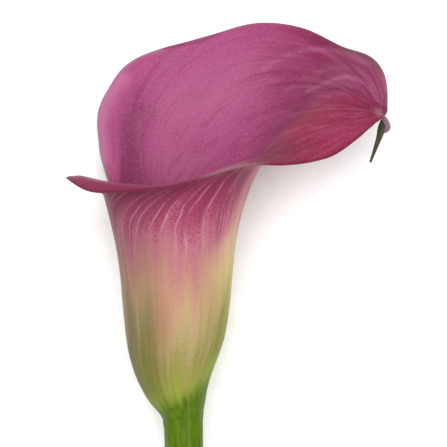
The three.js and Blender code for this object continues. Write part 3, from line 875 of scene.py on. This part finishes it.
neck_root = spathe_middle(np.full(3, float(TAIL_RIB)), np.array(NECK_ROOT_ALONG))
neck_line = [(*place, radius) for place, radius in zip(neck_root, NECK_ROOT_RADII)] + NECK_BEND
neck_points, neck_faces, neck_turn, neck_way = ringed_tube(neck_line, TAIL_SIDES, 8, neck_pleats)
spike_points, spike_faces, spike_turn, _ = ringed_tube(SPIKE, TAIL_SIDES, 6, spike_grooves)
tail_faces = neck_faces + [[i + len(neck_points) for i in face] for face in spike_faces]
neck_dryness = NECK_DRYNESS * ease(neck_way, 2.5, 6.0)
tail_marks = {
    "dryness": np.concatenate([neck_dryness, np.ones(len(spike_points))]),
    "turn": np.concatenate([neck_turn, spike_turn]),
}
tail = new_piece("spathe_tail", lay_down(np.vstack([neck_points, spike_points])), tail_faces, tail_marks)
print(tail.name, len(tail.data.polygons), "faces")

# %% [markdown]
# ## The stem
#
# The stem is a straight fleshy stalk with faint ridges, cut on the slant. The cut shows a pale pith
# with fine air channels, so the end is closed by rings of points that dip a little to the middle.

# %% Stalk with a slanted end
# Place and radius
STEM = [
    (-0.3, 0, 0, 5.35), (-0.3, -2, 0, 5.25), (-0.1, -6, -0.1, 5.05), (0.1, -20, -0.3, 5),
    (0.6, -45, -0.6, 5.1), (1.6, -80, -1.2, 5.3),
]
STEM_SIDES = 120
STEM_STEPS = 24
CUT_SLANT = 0.35
LEANING_RINGS = 16


def slanted_end(points, centre):
    """The last ring leans, and the rings before it lean less and less."""
    last = len(points)
    lean = ease(np.arange(last), last - LEANING_RINGS, last - 1)[:, None]
    points[..., 1] += lean * CUT_SLANT * (points[..., 2] - centre[:, None, 2])
    return points


def stem_ridges(turn, way):
    """Faint ridges along the stem, as a share of its radius."""
    return 0.006 * np.cos(11 * turn + 0.5 * way) + 0.004 * np.cos(23 * turn - 0.8 * way)


stalk = ringed_tube(STEM, STEM_SIDES, STEM_STEPS, ridge=stem_ridges, shape=slanted_end)
stalk_points, stem_faces = stalk[0], stalk[1][:-1]
print("stalk of", len(stalk_points), "points")

# %% The cut with its bevel and its dip
CUT_RINGS = 14
CUT_BEVEL = 0.18
CUT_DIP = 0.35

cut_line = stalk_points[-STEM_SIDES:]
cut_centre = cut_line.mean(0)
bevelled = 1 - CUT_BEVEL / STEM[-1][3]
cut_parts = []
for size in (bevelled, *np.linspace(1, 0, CUT_RINGS, endpoint=False)[1:]):
    ring = cut_centre + (cut_line - cut_centre) * size
    ring[:, 1] += -CUT_BEVEL + CUT_DIP * (1 - size**2)
    cut_parts.append(ring)
stem_points = np.vstack([stalk_points, *cut_parts])
around = np.arange(STEM_SIDES)
onward = (around + 1) % STEM_SIDES
for start in range(len(stalk_points) - STEM_SIDES, len(stem_points) - STEM_SIDES, STEM_SIDES):
    quads = np.stack([around, onward, onward + STEM_SIDES, around + STEM_SIDES], -1)
    stem_faces += (quads + start).tolist()
stem_faces.append((around + len(stem_points) - STEM_SIDES).tolist())
on_cut = (np.arange(len(stem_points)) >= len(stalk_points)).astype(float)
stem_lying = lay_down(stem_points)
stem_lying[:, 2] = np.maximum(stem_lying[:, 2], 0)
stem = new_piece("stem_stalk", stem_lying, stem_faces, {"cut": on_cut})
print(stem.name, len(stem.data.polygons), "faces")

# %% [markdown]
# ## One small function for nodes
#
# Materials and Geometry Nodes are both trees. The same function adds a node to either, sets its
# properties and fills its inputs. An input given as a socket is linked, and anything else is its
# value. Colours are written as sRGB hex and turned to linear once.
#
# Most of a finish is one colour laid over another, as far as a mark of the mesh or a texture says, so
# a second function lays a list of such colours over each other. The last two start a material and
# bring its colour and its relief to its shader.

# %% Nodes and colours
def linear(hex_colour):
    """An sRGB hex colour as linear RGBA."""
    channels = [int(hex_colour[i : i + 2], 16) / 255 for i in (1, 3, 5)]
    light = [c / 12.92 if c <= 0.04045 else ((c + 0.055) / 1.055) ** 2.4 for c in channels]
    return (*light, 1.0)


def add_node(tree, kind, inputs=(), out=0, stops=(), **settings):
    """Adds a node with its inputs, ramp stops and settings, and gives back one of its outputs.

    Inputs are a list, or a dict by name or number. A list as one input links all that is in it.
    """
    node = tree.nodes.new(kind)
    for setting, value in settings.items():
        setattr(node, setting, value)
    for key, given in inputs.items() if isinstance(inputs, dict) else enumerate(inputs):
        for value in given if isinstance(given, list) else [given]:
            if isinstance(value, bpy.types.NodeSocket):
                tree.links.new(value, node.inputs[key])
            else:
                is_colour = isinstance(value, str) and value.startswith("#")
                node.inputs[key].default_value = linear(value) if is_colour else value
    for number, (place, colour) in enumerate(stops):
        elements = node.color_ramp.elements
        element = elements[number] if number < len(elements) else elements.new(place)
        element.position = place
        element.color = linear(colour)
    return node.outputs[out] if node.outputs else None


print("pink", [round(c, 3) for c in linear("#b85c8a")])


# %% Laying colours over each other
def paint_over(tree, under, layers):
    """Colours over a colour. A layer is a mark or None, a texture or None, its reach, and a colour.

    The reach is the texture's values between which the cover goes smoothly from 0 to 1, or from a
    third number to a fourth. A texture with no reach is the cover itself.
    """
    for mark, texture, reach, colour in layers:
        covers = [] if texture is None else [texture]
        if reach:
            ends = [texture, *reach]
            covers = [add_node(tree, "ShaderNodeMapRange", ends, interpolation_type="SMOOTHSTEP")]
        if mark:
            covers.append(add_node(tree, "ShaderNodeAttribute", out="Fac", attribute_name=mark))
        if len(covers) > 1:
            covers = [add_node(tree, "ShaderNodeMath", covers, operation="MULTIPLY")]
        mix = {0: covers[0], 6: under, 7: colour}
        under = add_node(tree, "ShaderNodeMix", mix, out=2, data_type="RGBA")
    return under


def new_finish(name, surface):
    """A material by name, with the constant inputs of its shader, and its tree."""
    material = bpy.data.materials.new(name)
    material.use_nodes = True
    for key, value in surface.items():
        material.node_tree.nodes["Principled BSDF"].inputs[key].default_value = value
    return material, material.node_tree


def finish_surface(tree, colour, relief=None):
    """Links a colour, and a relief if there is one, to the shader of a finish."""
    shader = tree.nodes["Principled BSDF"]
    tree.links.new(colour, shader.inputs["Base Color"])
    if relief:
        tree.links.new(add_node(tree, "ShaderNodeBump", relief), shader.inputs["Normal"])


print("colours over colours, finishes and their surfaces are ready to use")

# %% [markdown]
# ## The green of the stalk
#
# The same green is on the stem and on the base of the leaf, which grows out of it, so one function
# makes it for both. Fine fibres run along it: noise drawn out to 26 mm along the stalk and 0.9 mm
# across it. One lighter line runs up the stem, as in the picture.

# %% Green with fibres
STALK_FIBRE_MM = (0.9, 26.0, 0.9)
STALK_GREENS = [(0.3, "#3f5506"), (0.52, "#496207"), (0.7, "#54710c")]
STALK_LINE_X = -10.5 * MM
STALK_LINE_WIDTH = 0.5 * MM


def stalk_green(tree, place):
    """Green of the stalk with fine fibres and one lighter line, and the height of the fibres."""
    fibre_scale = tuple(1 / (width * MM) for width in STALK_FIBRE_MM)
    stretched = add_node(tree, "ShaderNodeMapping", {"Vector": place, "Scale": fibre_scale})
    fibre_look = {"Vector": stretched, "Scale": 1.0, "Detail": 4.0}
    fibres = add_node(tree, "ShaderNodeTexNoise", fibre_look)
    green = add_node(tree, "ShaderNodeValToRGB", [fibres], stops=STALK_GREENS)
    across_x = add_node(tree, "ShaderNodeSeparateXYZ", [place])
    from_line = add_node(tree, "ShaderNodeMath", [across_x, STALK_LINE_X], operation="SUBTRACT")
    off_line = add_node(tree, "ShaderNodeMath", [from_line], operation="ABSOLUTE")
    line = (None, off_line, (0.0, STALK_LINE_WIDTH, 0.3, 0.0), "#73883a")
    return paint_over(tree, green, [line]), fibres


print("fibres", STALK_FIBRE_MM[0], "mm wide and", STALK_FIBRE_MM[1], "mm long")

# %% [markdown]
# ## The finish of the leaf
#
# A spathe is living tissue with a waxy, faintly velvety skin. Light goes a little way in, which
# softens its shadows, so it gets a weak subsurface term, a dull gloss and hardly any sheen. The
# outside runs from the stem's green through yellow and cream to rose, with pale veins, and painted
# shade on its low side. The inside is mauve pink with a fine speckle, with painted highlights and
# painted shade, and crimson painted shade where the near side folds over. One material holds both,
# mixed by the mark that says which skin a point is on, so that the colours meet cleanly at the
# margin.
#
# Streaks, veins and threads follow the leaf because they are noise that is read at a place among the
# veins, which is degrees round the tube and millimetres up, or the angle and reach in the fan of the
# limb. A scale of 0.075 a degree and 0.025 a millimetre is a streak about 3 mm wide and 40 mm long.

# %% Textures of the leaf
LEAF_TISSUE = {
    "Roughness": 0.5,
    "IOR": 1.42,
    "Subsurface Weight": 0.12,
    "Subsurface Scale": 1.2 * MM,
    "Subsurface Radius": (1.0, 0.4, 0.35),
    "Specular IOR Level": 0.14,
    "Sheen Weight": 0.02,
    "Sheen Roughness": 0.45,
}
SPECKLE_MM = 0.4
VELVET_MM = 0.42
# Place that the noise is read at, its scale there, detail and roughness
LEAF_TEXTURES = {
    "streaks": ("vein_place", (0.075, 0.025, 0.0), 4.0, 0.5),
    "wander": ("vein_place", (0.04, 0.11, 0.0), 2.0, 0.5),
    "threads": ("vein_place", (0.2, 0.05, 0.0), 3.0, 0.5),
    "fan": ("fan_place", (16.0, 0.7, 0.0), 5.0, 0.6),
    "mottle": ("fan_place", (9.0, 2.4, 0.0), 4.0, 0.5),
    "flecks": (None, (1 / (SPECKLE_MM * MM),) * 3, 2.0, 0.5),
    "velvet": (None, (1 / (VELVET_MM * MM),) * 3, 3.0, 0.5),
}

leaf_finish, tree = new_finish("waxy_spathe_tissue", LEAF_TISSUE)
place = add_node(tree, "ShaderNodeTexCoord", out="Object")
textures = {}
for name, (place_mark, scale, detail, roughness) in LEAF_TEXTURES.items():
    here = place
    if place_mark:
        here = add_node(tree, "ShaderNodeAttribute", out="Vector", attribute_name=place_mark)
    scaled = add_node(tree, "ShaderNodeMapping", {"Vector": here, "Scale": scale})
    look = {"Vector": scaled, "Scale": 1.0, "Detail": detail, "Roughness": roughness}
    textures[name] = add_node(tree, "ShaderNodeTexNoise", look)
print("textures:", ", ".join(textures))

# %% Colour lines that waver, and veins
wavering = {}
for name, shares in WAVERING.items():
    line = add_node(tree, "ShaderNodeAttribute", out="Fac", attribute_name=name)
    for texture, share in zip(("streaks", "flecks"), shares):
        sum_of = [textures[texture], share, line]
        line = add_node(tree, "ShaderNodeMath", sum_of, operation="MULTIPLY_ADD")
    wavering[name] = line

vein_number = add_node(tree, "ShaderNodeAttribute", out="Fac", attribute_name="vein_number")
wandering, broken = (
    add_node(tree, "ShaderNodeMath", sum_of, operation="MULTIPLY_ADD")
    for sum_of in ([textures["wander"], 0.9, vein_number], [textures["flecks"], 0.9, textures["wander"]])
)
vein_look = {"W": wandering, "Scale": 1.0, "Randomness": 0.85}
from_vein = add_node(tree, "ShaderNodeTexVoronoi", vein_look, out="Distance", voronoi_dimensions="1D")
vein_parts = [
    add_node(tree, "ShaderNodeMapRange", ends, interpolation_type="SMOOTHSTEP")
    for ends in ([from_vein, 0.01, 0.13, 1.0, 0.0], [broken, 0.83, 1.07, 0.1, 1.0])
]
vein_lines = add_node(tree, "ShaderNodeMath", vein_parts, operation="MULTIPLY")
print("veins every", VEIN_SPACING, "degrees")

# %% Outside of the leaf
# Height over the line of the blush, in millimetres, and colour
OUTSIDE_COLOURS = [
    (-28, "#7c8d2f"), (-17, "#857d44"), (-9, "#9b8b61"), (-1, "#aa896b"), (7, "#a37269"),
    (14, "#a05f6f"), (20, "#8d3d58"), (27, "#7d2c49"), (34, "#782746"),
]
# Height over the stem, in millimetres, and colour on the side that the sun has yellowed
SUNNY_COLOURS = [
    (12, "#6f692c"), (24, "#817835"), (37, "#bbaf73"), (44.5, "#c7a48d"), (51, "#b2747e"),
    (58, "#a25b72"),
]

outside_stops = [((at + BLUSH_SPAN) / (2 * BLUSH_SPAN), colour) for at, colour in OUTSIDE_COLOURS]
outside = add_node(tree, "ShaderNodeValToRGB", [wavering["blush_line"]], stops=outside_stops)
sunny_stops = [(at / SUNNY_TOP, colour) for at, colour in SUNNY_COLOURS]
sunny_colour = add_node(tree, "ShaderNodeValToRGB", [wavering["sunny_line"]], stops=sunny_stops)
# Painted shade of the tube's low side: olive low down, pinker above the blush
tube_shade_colour = paint_over(tree, "#463d1e", [("painted_tube_shade_pink", None, None, "#542835")])
threads = textures["threads"]
outside = paint_over(tree, outside, [
    ("veins", vein_lines, None, "#bc909d"),
    ("sunny", threads, (0.3, 0.6, 0.35, 0.85), sunny_colour),
    ("below_blush", threads, (0.5, 0.75, 0.0, 0.17), "#57522b"),
    ("below_blush", threads, (0.5, 0.25, 0.0, 0.18), "#aaa254"),
    ("rosy", threads, (0.3, 0.6, 0.65, 0.4), "#a3645a"),
    # Painted shade on the low side of the tube, broken up by the threads
    ("painted_tube_shade", threads, (0.3, 0.6, 0.7, 1.0), tube_shade_colour),
    (None, wavering["green_line"], (-3.2, 2.4), stalk_green(tree, place)[0]),
])
print("outside finish done")

# %% Inside of the leaf
fan, mottle = textures["fan"], textures["mottle"]
inside = paint_over(tree, "#903965", [
    # Darker towards the right of the limb
    ("darker_right", None, None, "#711c42"),
    # Painted highlights on the limb
    ("painted_highlight", None, None, "#995274"),
    # Painted shade in the valley left of the throat
    ("valley_shade", None, None, "#6a2649"),
    # Painted highlight on the lit crest by the left margin
    ("strip", None, None, "#ad6c8e"),
    # Painted shade in crimson where the near side folds down
    ("crimson_fold_shade", None, None, "#7b1733"),
    # Painted light: a brighter patch in the crimson of the near fold
    ("painted_glow", None, None, "#84274a"),
    # Painted shade by the fold and along the far right rim
    ("painted_shade", None, None, "#5c0826"),
    # Painted shadow band along the fold
    ("fold_shadow_band", None, None, "#5c1c42"),
    ("velvet", textures["velvet"], (0.38, 0.7), "#a9708a"),
    (None, mottle, (0.5, 0.72, 0.0, 0.25), "#672246"),
    (None, mottle, (0.5, 0.28, 0.0, 0.2), "#9b5477"),
    ("fan_cover", fan, (0.5, 0.7), "#924268"),
    ("fan_cover", fan, (0.5, 0.26), "#5c1535"),
    ("streak_lines", fan, (0.38, 0.6, 0.2, 0.85), "#965875"),
    # Painted shade inside the lip
    ("lip", None, None, "#70183b"),
    ("red_rim", None, None, "#962652"),
    # Painted shade where the rim curls away
    ("curl_shade_edge", None, None, "#40202f"),
    ("pale_edge", fan, (0.38, 0.62, 0.35, 0.85), "#937f88"),
])
print("inside finish done")

# %% Both skins, the margin and the relief of the skin
LEAF_BUMP = {"Distance": 0.25 * MM, "Strength": 0.35}

on_skin = add_node(tree, "ShaderNodeAttribute", out="Fac", attribute_name="inside")
from_margin = add_node(tree, "ShaderNodeAttribute", out="Fac", attribute_name="margin")
margin_colour = paint_over(tree, "#5a172b", [("pale_margin", None, None, "#80736a")])
skin_colour = paint_over(tree, outside, [
    (None, on_skin, (0.35, 0.65), inside),
    ("above_tube", from_margin, (0.1, 0.6, 0.6, 0.0), margin_colour),
])
ridges, fan_ridges = (
    add_node(tree, "ShaderNodeMath", sum_of, operation="MULTIPLY_ADD")
    for sum_of in ([textures["flecks"], 0.35, textures["streaks"]], [textures["velvet"], 0.3, fan])
)
skin_height = add_node(tree, "ShaderNodeMix", {0: on_skin, 2: ridges, 3: fan_ridges})
finish_surface(tree, skin_colour, {"Height": skin_height, **LEAF_BUMP})
spathe.data.materials.append(leaf_finish)
print("leaf finish:", len(tree.nodes), "nodes")

# %% [markdown]
# ## The finish of the tail
#
# The tail dries before the rest of the flower: its neck is greyish pink, and its spike is brown and
# olive, dull and finely grooved along its length.

# %% Drying tail
TAIL_TISSUE = {"Roughness": 0.62, "IOR": 1.42}
TAIL_GROOVES = 9.0
TAIL_BUMP = {"Distance": 0.08 * MM, "Strength": 0.5}
BLOTCH_MM = 1.1

tail_finish, tree = new_finish("drying_tail_tip", TAIL_TISSUE)
turn_mark = add_node(tree, "ShaderNodeAttribute", out="Fac", attribute_name="turn")
dryness_mark = add_node(tree, "ShaderNodeAttribute", out="Fac", attribute_name="dryness")
place = add_node(tree, "ShaderNodeTexCoord", out="Object")
blotch_look = {"Vector": place, "Scale": 1 / (BLOTCH_MM * MM), "Detail": 4.0}
blotches = add_node(tree, "ShaderNodeTexNoise", blotch_look)
grooves_round = add_node(tree, "ShaderNodeMath", [turn_mark, TAIL_GROOVES], operation="MULTIPLY")
groove = add_node(tree, "ShaderNodeMath", [grooves_round], operation="SINE")
with_blotches = [blotches, 0.25, dryness_mark]
dry_blotches = add_node(tree, "ShaderNodeMath", with_blotches, operation="MULTIPLY_ADD")
fresh = paint_over(tree, "#493238", [(None, groove, (-0.6, 0.8), "#8a6f75")])
dry = paint_over(tree, "#242410", [(None, blotches, (0.35, 0.65), "#3d3d23")])
tail_colour = paint_over(tree, fresh, [(None, dry_blotches, (0.45, 0.95), dry)])
finish_surface(tree, tail_colour, {"Height": groove, **TAIL_BUMP})
tail.data.materials.append(tail_finish)
print("tail finish:", len(tree.nodes), "nodes")

# %% [markdown]
# ## The finish of the stem
#
# The stem is juicy green tissue under a thin wax, so it is a little glossier than the leaf. Darker
# and lighter green run along it in fine streaks. On the cut, the rind stays green and the pith is
# pale, with air channels that show as small dark dots.

# %% Green stalk and pale pith
STEM_TISSUE = {
    "Roughness": 0.42,
    "IOR": 1.42,
    "Subsurface Weight": 0.08,
    "Subsurface Scale": 1.0 * MM,
    "Specular IOR Level": 0.12,
}
AIR_CHANNEL_MM = 0.75
STEM_BUMP = {"Distance": 0.2 * MM, "Strength": 0.4}

stem_finish, tree = new_finish("waxy_green_stalk", STEM_TISSUE)
place = add_node(tree, "ShaderNodeTexCoord", out="Object")
stalk_colour, fibres = stalk_green(tree, place)
channel_look = {"Vector": place, "Scale": 1 / (AIR_CHANNEL_MM * MM)}
channels = add_node(tree, "ShaderNodeTexVoronoi", channel_look, out="Distance")
cut_mark = add_node(tree, "ShaderNodeAttribute", out="Fac", attribute_name="cut")
dots, on_cut_face = (
    add_node(tree, "ShaderNodeMapRange", ends, interpolation_type="SMOOTHSTEP")
    for ends in ([channels, 0.16, 0.34], [cut_mark, 0.4, 0.9])
)
pith = paint_over(tree, "#727f45", [(None, dots, None, "#b8bf8e")])
stem_colour = paint_over(tree, stalk_colour, [(None, on_cut_face, None, pith)])
stem_height = add_node(tree, "ShaderNodeMix", {0: on_cut_face, 2: fibres, 3: dots})
finish_surface(tree, stem_colour, {"Height": stem_height, **STEM_BUMP})
stem.data.materials.append(stem_finish)
print("stem finish:", len(tree.nodes), "nodes")

# %% [markdown]
# ## The spadix
#
# Inside the trumpet stands the spadix: a club covered with hundreds of tiny florets, packed in two
# sets of crossing spirals like the seeds of a sunflower. That packing is one rule, repeated: each
# floret sits a golden angle round from the one before. Geometry Nodes do exactly this. A spine
# carries the radius, one branch of the tree sweeps a circle along it for the core, and the other
# puts a floret at every step of the spiral.

# %% Spine of the spadix
# Height, sideways place and radius
SPADIX = [
    (0, -0.35, 2.2), (3, -0.9, 2.8), (8, -1.5, 3.3), (18, -1.8, 3.6), (30, -1.7, 3.5), (39, -1.7, 3.1),
    (43.5, -1.7, 2.3), (45.7, -1.7, 1.2), (46.0, -1.7, 0.6),
]
SPINE_POINTS = 120

spine_heights = np.linspace(0, SPADIX[-1][0], SPINE_POINTS)
spine_x, spine_radius = profile_at(SPADIX, spine_heights)[0].T
spine_line = np.stack([spine_x, SEAT_GAP + spine_heights, np.zeros(SPINE_POINTS)], -1)
spine_mesh = bpy.data.meshes.new("spadix_spine")
spine_edges = [(i, i + 1) for i in range(SPINE_POINTS - 1)]
spine_mesh.from_pydata(lay_down(spine_line).tolist(), spine_edges, [])
thick = spine_mesh.attributes.new("thickness", "FLOAT", "POINT")
thick.data.foreach_set("value", spine_radius * MM)
spadix = bpy.data.objects.new("spadix_florets", spine_mesh)
bpy.context.scene.collection.objects.link(spadix)
print("spine of", SPINE_POINTS, "points, widest", spine_radius.max().round(2), "mm")

# %% [markdown]
# ## The finish of the spadix
#
# The florets are dusted with dry pollen, which is matt and grainy, so the finish is rough, with a
# little light inside. Grains of half a millimetre vary its yellow, and patches of 7 mm are riper.

# %% Pollen-yellow finish
FLORET_TISSUE = {
    "Roughness": 0.7,
    "IOR": 1.4,
    "Subsurface Weight": 0.15,
    "Subsurface Scale": 0.8 * MM,
}
GRAIN_MM = 0.5
RIPE_PATCH_MM = 7
POLLEN_COLOURS = [(0.3, "#b8841c"), (0.5, "#d1a632"), (0.7, "#e0c35e")]
GRAIN_BUMP = {"Distance": 0.1 * MM, "Strength": 0.6}

floret_finish, tree = new_finish("pollen_yellow_florets", FLORET_TISSUE)
place = add_node(tree, "ShaderNodeTexCoord", out="Object")
grains, patches = (
    add_node(tree, "ShaderNodeTexNoise", {"Vector": place, "Scale": 1 / (size * MM), "Detail": detail})
    for size, detail in ((GRAIN_MM, 3.0), (RIPE_PATCH_MM, 1.0))
)
pollen = add_node(tree, "ShaderNodeValToRGB", [grains], stops=POLLEN_COLOURS)
pollen = paint_over(tree, pollen, [(None, patches, (0.4, 0.65, 0.0, 0.5), "#c88e27")])
finish_surface(tree, pollen, {"Height": grains, **GRAIN_BUMP})
print("floret finish:", len(tree.nodes), "nodes")

# %% Core and spiral of the spadix
CORE_SIDES = 40


def swept_core(tree, spine, thickness):
    """A smooth core along the spine, as thick as the spine says."""
    round_of_one = {"Resolution": CORE_SIDES, "Radius": 1.0}
    circle = add_node(tree, "GeometryNodeCurvePrimitiveCircle", round_of_one)
    sweep = {"Curve": spine, "Profile Curve": circle, "Scale": thickness, "Fill Caps": True}
    core = add_node(tree, "GeometryNodeCurveToMesh", sweep)
    return add_node(tree, "GeometryNodeSetShadeSmooth", {"Geometry": core})


def spiral_points(tree, spine, thickness, given):
    """A point for each floret on the spiral round the spine, which keeps its way outwards."""
    index = add_node(tree, "GeometryNodeInputIndex")
    middle = add_node(tree, "ShaderNodeMath", [index, 0.5], operation="ADD")
    share = add_node(tree, "ShaderNodeMath", [middle, given["Florets"]], operation="DIVIDE")
    at_share = {"Curves": spine, "Value": thickness, "Factor": share}
    spot = add_node(tree, "GeometryNodeSampleCurve", at_share).node.outputs
    angle = add_node(tree, "ShaderNodeMath", [index, given["Turn per floret"]], operation="MULTIPLY")
    turn = {"Axis": spot["Tangent"], "Angle": angle}
    about = add_node(tree, "FunctionNodeAxisAngleToRotation", turn)
    outwards = add_node(tree, "FunctionNodeRotateVector", {"Vector": spot["Normal"], "Rotation": about})
    reach = {0: outwards, "Scale": spot["Value"]}
    arm = add_node(tree, "ShaderNodeVectorMath", reach, operation="SCALE")
    at = add_node(tree, "ShaderNodeVectorMath", [spot["Position"], arm], operation="ADD")
    points = add_node(tree, "GeometryNodePoints", {"Count": given["Florets"], "Position": at})
    note = {"Geometry": points, "Name": "outwards", "Value": outwards}
    return add_node(tree, "GeometryNodeStoreNamedAttribute", note, data_type="FLOAT_VECTOR")


print("core of", CORE_SIDES, "sides")

# %% Tree of the spadix
SPADIX_INPUTS = {
    "Spine": "Geometry",
    "Florets": "Int",
    "Floret radius": "Float",
    "Turn per floret": "Float",
    "Seed": "Int",
    "Finish": "Material",
}
FLORET_FACES = {"Segments": 8, "Rings": 6}
FLORET_SIZES = {2: 0.85, 3: 1.12}


def spadix_tree(name):
    """Core and florets along a spine that carries its thickness."""
    tree = bpy.data.node_groups.new(name, "GeometryNodeTree")
    for socket, kind in SPADIX_INPUTS.items():
        tree.interface.new_socket(socket, in_out="INPUT", socket_type="NodeSocket" + kind)
    tree.interface.new_socket("Spadix", in_out="OUTPUT", socket_type="NodeSocketGeometry")
    given = add_node(tree, "NodeGroupInput").node.outputs
    thickness = add_node(tree, "GeometryNodeInputNamedAttribute", {"Name": "thickness"})
    spine = add_node(tree, "GeometryNodeMeshToCurve", {"Mesh": given["Spine"]})
    core = swept_core(tree, spine, thickness)
    kept = spiral_points(tree, spine, thickness, given)

    out_mark = {"Name": "outwards"}
    outwards = add_node(tree, "GeometryNodeInputNamedAttribute", out_mark, data_type="FLOAT_VECTOR")
    facing = add_node(tree, "FunctionNodeAlignRotationToVector", {"Vector": outwards}, axis="Z")
    ball = {"Radius": given["Floret radius"], **FLORET_FACES}
    floret = add_node(tree, "GeometryNodeMeshUVSphere", ball)
    floret = add_node(tree, "GeometryNodeSetShadeSmooth", {"Geometry": floret})
    sizes = {"Seed": given["Seed"], **FLORET_SIZES}
    size = add_node(tree, "FunctionNodeRandomValue", sizes, out=1, data_type="FLOAT")
    planted = {"Points": kept, "Instance": floret, "Rotation": facing, "Scale": size}
    florets = add_node(tree, "GeometryNodeInstanceOnPoints", planted)
    both = add_node(tree, "GeometryNodeJoinGeometry", {0: [core, florets]})
    real = add_node(tree, "GeometryNodeRealizeInstances", {"Geometry": both})
    ready = {"Geometry": real, "Material": given["Finish"]}
    add_node(tree, "NodeGroupOutput", {"Spadix": add_node(tree, "GeometryNodeSetMaterial", ready)})
    return tree


florets_in_spirals = spadix_tree("florets_in_spirals")
print("tree of", len(florets_in_spirals.nodes), "nodes")

# %% Grow the spadix and make it a plain mesh
FLORETS = 620
FLORET_RADIUS = 0.52 * MM
GOLDEN_ANGLE = math.pi * (3 - math.sqrt(5))


def grown(piece, tree, values):
    """Runs a Geometry Nodes tree on a piece, and keeps only the mesh that it makes."""
    modifier = piece.modifiers.new(tree.name, "NODES")
    modifier.node_group = tree
    for item in tree.interface.items_tree:
        if item.name in values and item.in_out == "INPUT":
            modifier[item.identifier] = values[item.name]
    evaluated = piece.evaluated_get(bpy.context.evaluated_depsgraph_get())
    mesh = bpy.data.meshes.new_from_object(evaluated)
    piece.modifiers.clear()
    piece.data = mesh
    print("made", len(mesh.polygons), "faces")


spadix_sizes = {
    "Florets": FLORETS,
    "Floret radius": FLORET_RADIUS,
    "Turn per floret": GOLDEN_ANGLE,
    "Seed": 5,
    "Finish": floret_finish,
}
grown(spadix, florets_in_spirals, spadix_sizes)
print(spadix.name, "has", len(spadix.data.vertices), "points")

# %% [markdown]
# ## Telling the frame about the pieces
#
# Each piece is listed with the CAD node it stands for and a finish of the record, hides that node
# and joins the body that it moves with. The flower is one body.

# %% Pieces, nodes and slots
for piece, node, finish in (
    (spathe, "spathe", "spathe_pink"),
    (tail, "spathe", "spathe_pink"),
    (stem, "stem", "stem_green"),
    (spadix, "spadix", "spadix_yellow"),
):
    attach(piece, "root")
    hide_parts(node)
    low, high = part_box(node)
    print(piece.name, "stands for", node, "of size", [round(1000 * c, 1) for c in high - low], "mm")

# %% [markdown]
# ## Table, light and camera
#
# The picture shows the flower cut out on white, lit softly from all round with a little more light
# from above left. A wide pale table, a bright even sky and two large soft lamps give that. The camera
# looks along the flower's own Z axis, 600 mm from it, so that it sees the flower standing up.

# %% Pale table
TABLE_SIZE = 3.0
TABLE_THICKNESS = 0.02
TABLE_GRAIN = 900.0
TABLE_WHITES = [(0.3, "#f6f6f5"), (0.7, "#fafafa")]

half_table = TABLE_SIZE / 2
table_corners = [(-half_table, -half_table), (half_table, -half_table)]
table_corners += [(half_table, half_table), (-half_table, half_table)]
table_points = [(x, y, z) for z in (0, -TABLE_THICKNESS) for x, y in table_corners]
table_faces = [(0, 1, 2, 3), (7, 6, 5, 4), (0, 4, 5, 1), (1, 5, 6, 2), (2, 6, 7, 3), (3, 7, 4, 0)]
table = new_piece("table", table_points, table_faces)
table.data.shade_flat()
table_finish, tree = new_finish("matte_white_board", {"Roughness": 0.9})
table_grain = add_node(tree, "ShaderNodeTexNoise", {"Scale": TABLE_GRAIN, "Detail": 2.0})
table_colour = add_node(tree, "ShaderNodeValToRGB", [table_grain], stops=TABLE_WHITES)
finish_surface(tree, table_colour)
table.data.materials.append(table_finish)
print("table", TABLE_SIZE, "m wide")

# %% Sky and lamps
SKY_STRENGTH = 0.66
KEY_LAMP = {"place": (0.04, 0.16, 1.3), "size": 1.3, "watts": 20.5}
FILL_LAMP = {"place": (-0.5, -0.3, 1.2), "size": 0.9, "watts": 2.4}
BLOOM_PLACE = (0, 0.03, 0.02)

world = bpy.data.worlds.new("even_sky")
world.use_nodes = True
sky = world.node_tree.nodes["Background"].inputs
sky["Color"].default_value = (1, 1, 1, 1)
sky["Strength"].default_value = SKY_STRENGTH
bpy.context.scene.world = world


def soft_lamp(name, lamp):
    """A square lamp that looks at the middle of the bloom."""
    data = bpy.data.lights.new(name, "AREA")
    data.size = lamp["size"]
    data.energy = lamp["watts"]
    light = bpy.data.objects.new(name, data)
    light.location = lamp["place"]
    to_bloom = Vector(BLOOM_PLACE) - Vector(lamp["place"])
    light.rotation_euler = to_bloom.to_track_quat("-Z", "Y").to_euler()
    bpy.context.scene.collection.objects.link(light)


soft_lamp("key_lamp", KEY_LAMP)
soft_lamp("fill_lamp", FILL_LAMP)
bpy.context.scene.view_settings.view_transform = "Standard"
print("sky and two lamps")

# %% Camera
PICTURE_PIXELS = 447
SENSOR_MM = 36.0

camera_data = bpy.data.cameras.new("camera")
camera_data.sensor_width = SENSOR_MM
camera_data.lens = SENSOR_MM * CAMERA_DISTANCE / (PICTURE_PIXELS * MM_PER_PIXEL)
camera_data.clip_start = 0.01
camera = bpy.data.objects.new("camera", camera_data)
camera.location = lay_down([*PICTURE_CENTRE, CAMERA_DISTANCE])
camera.rotation_euler = (LAY_TILT, 0, 0)
bpy.context.scene.collection.objects.link(camera)
bpy.context.scene.camera = camera
print("lens", round(camera_data.lens, 1), "mm, camera at", [round(c, 3) for c in camera.location])
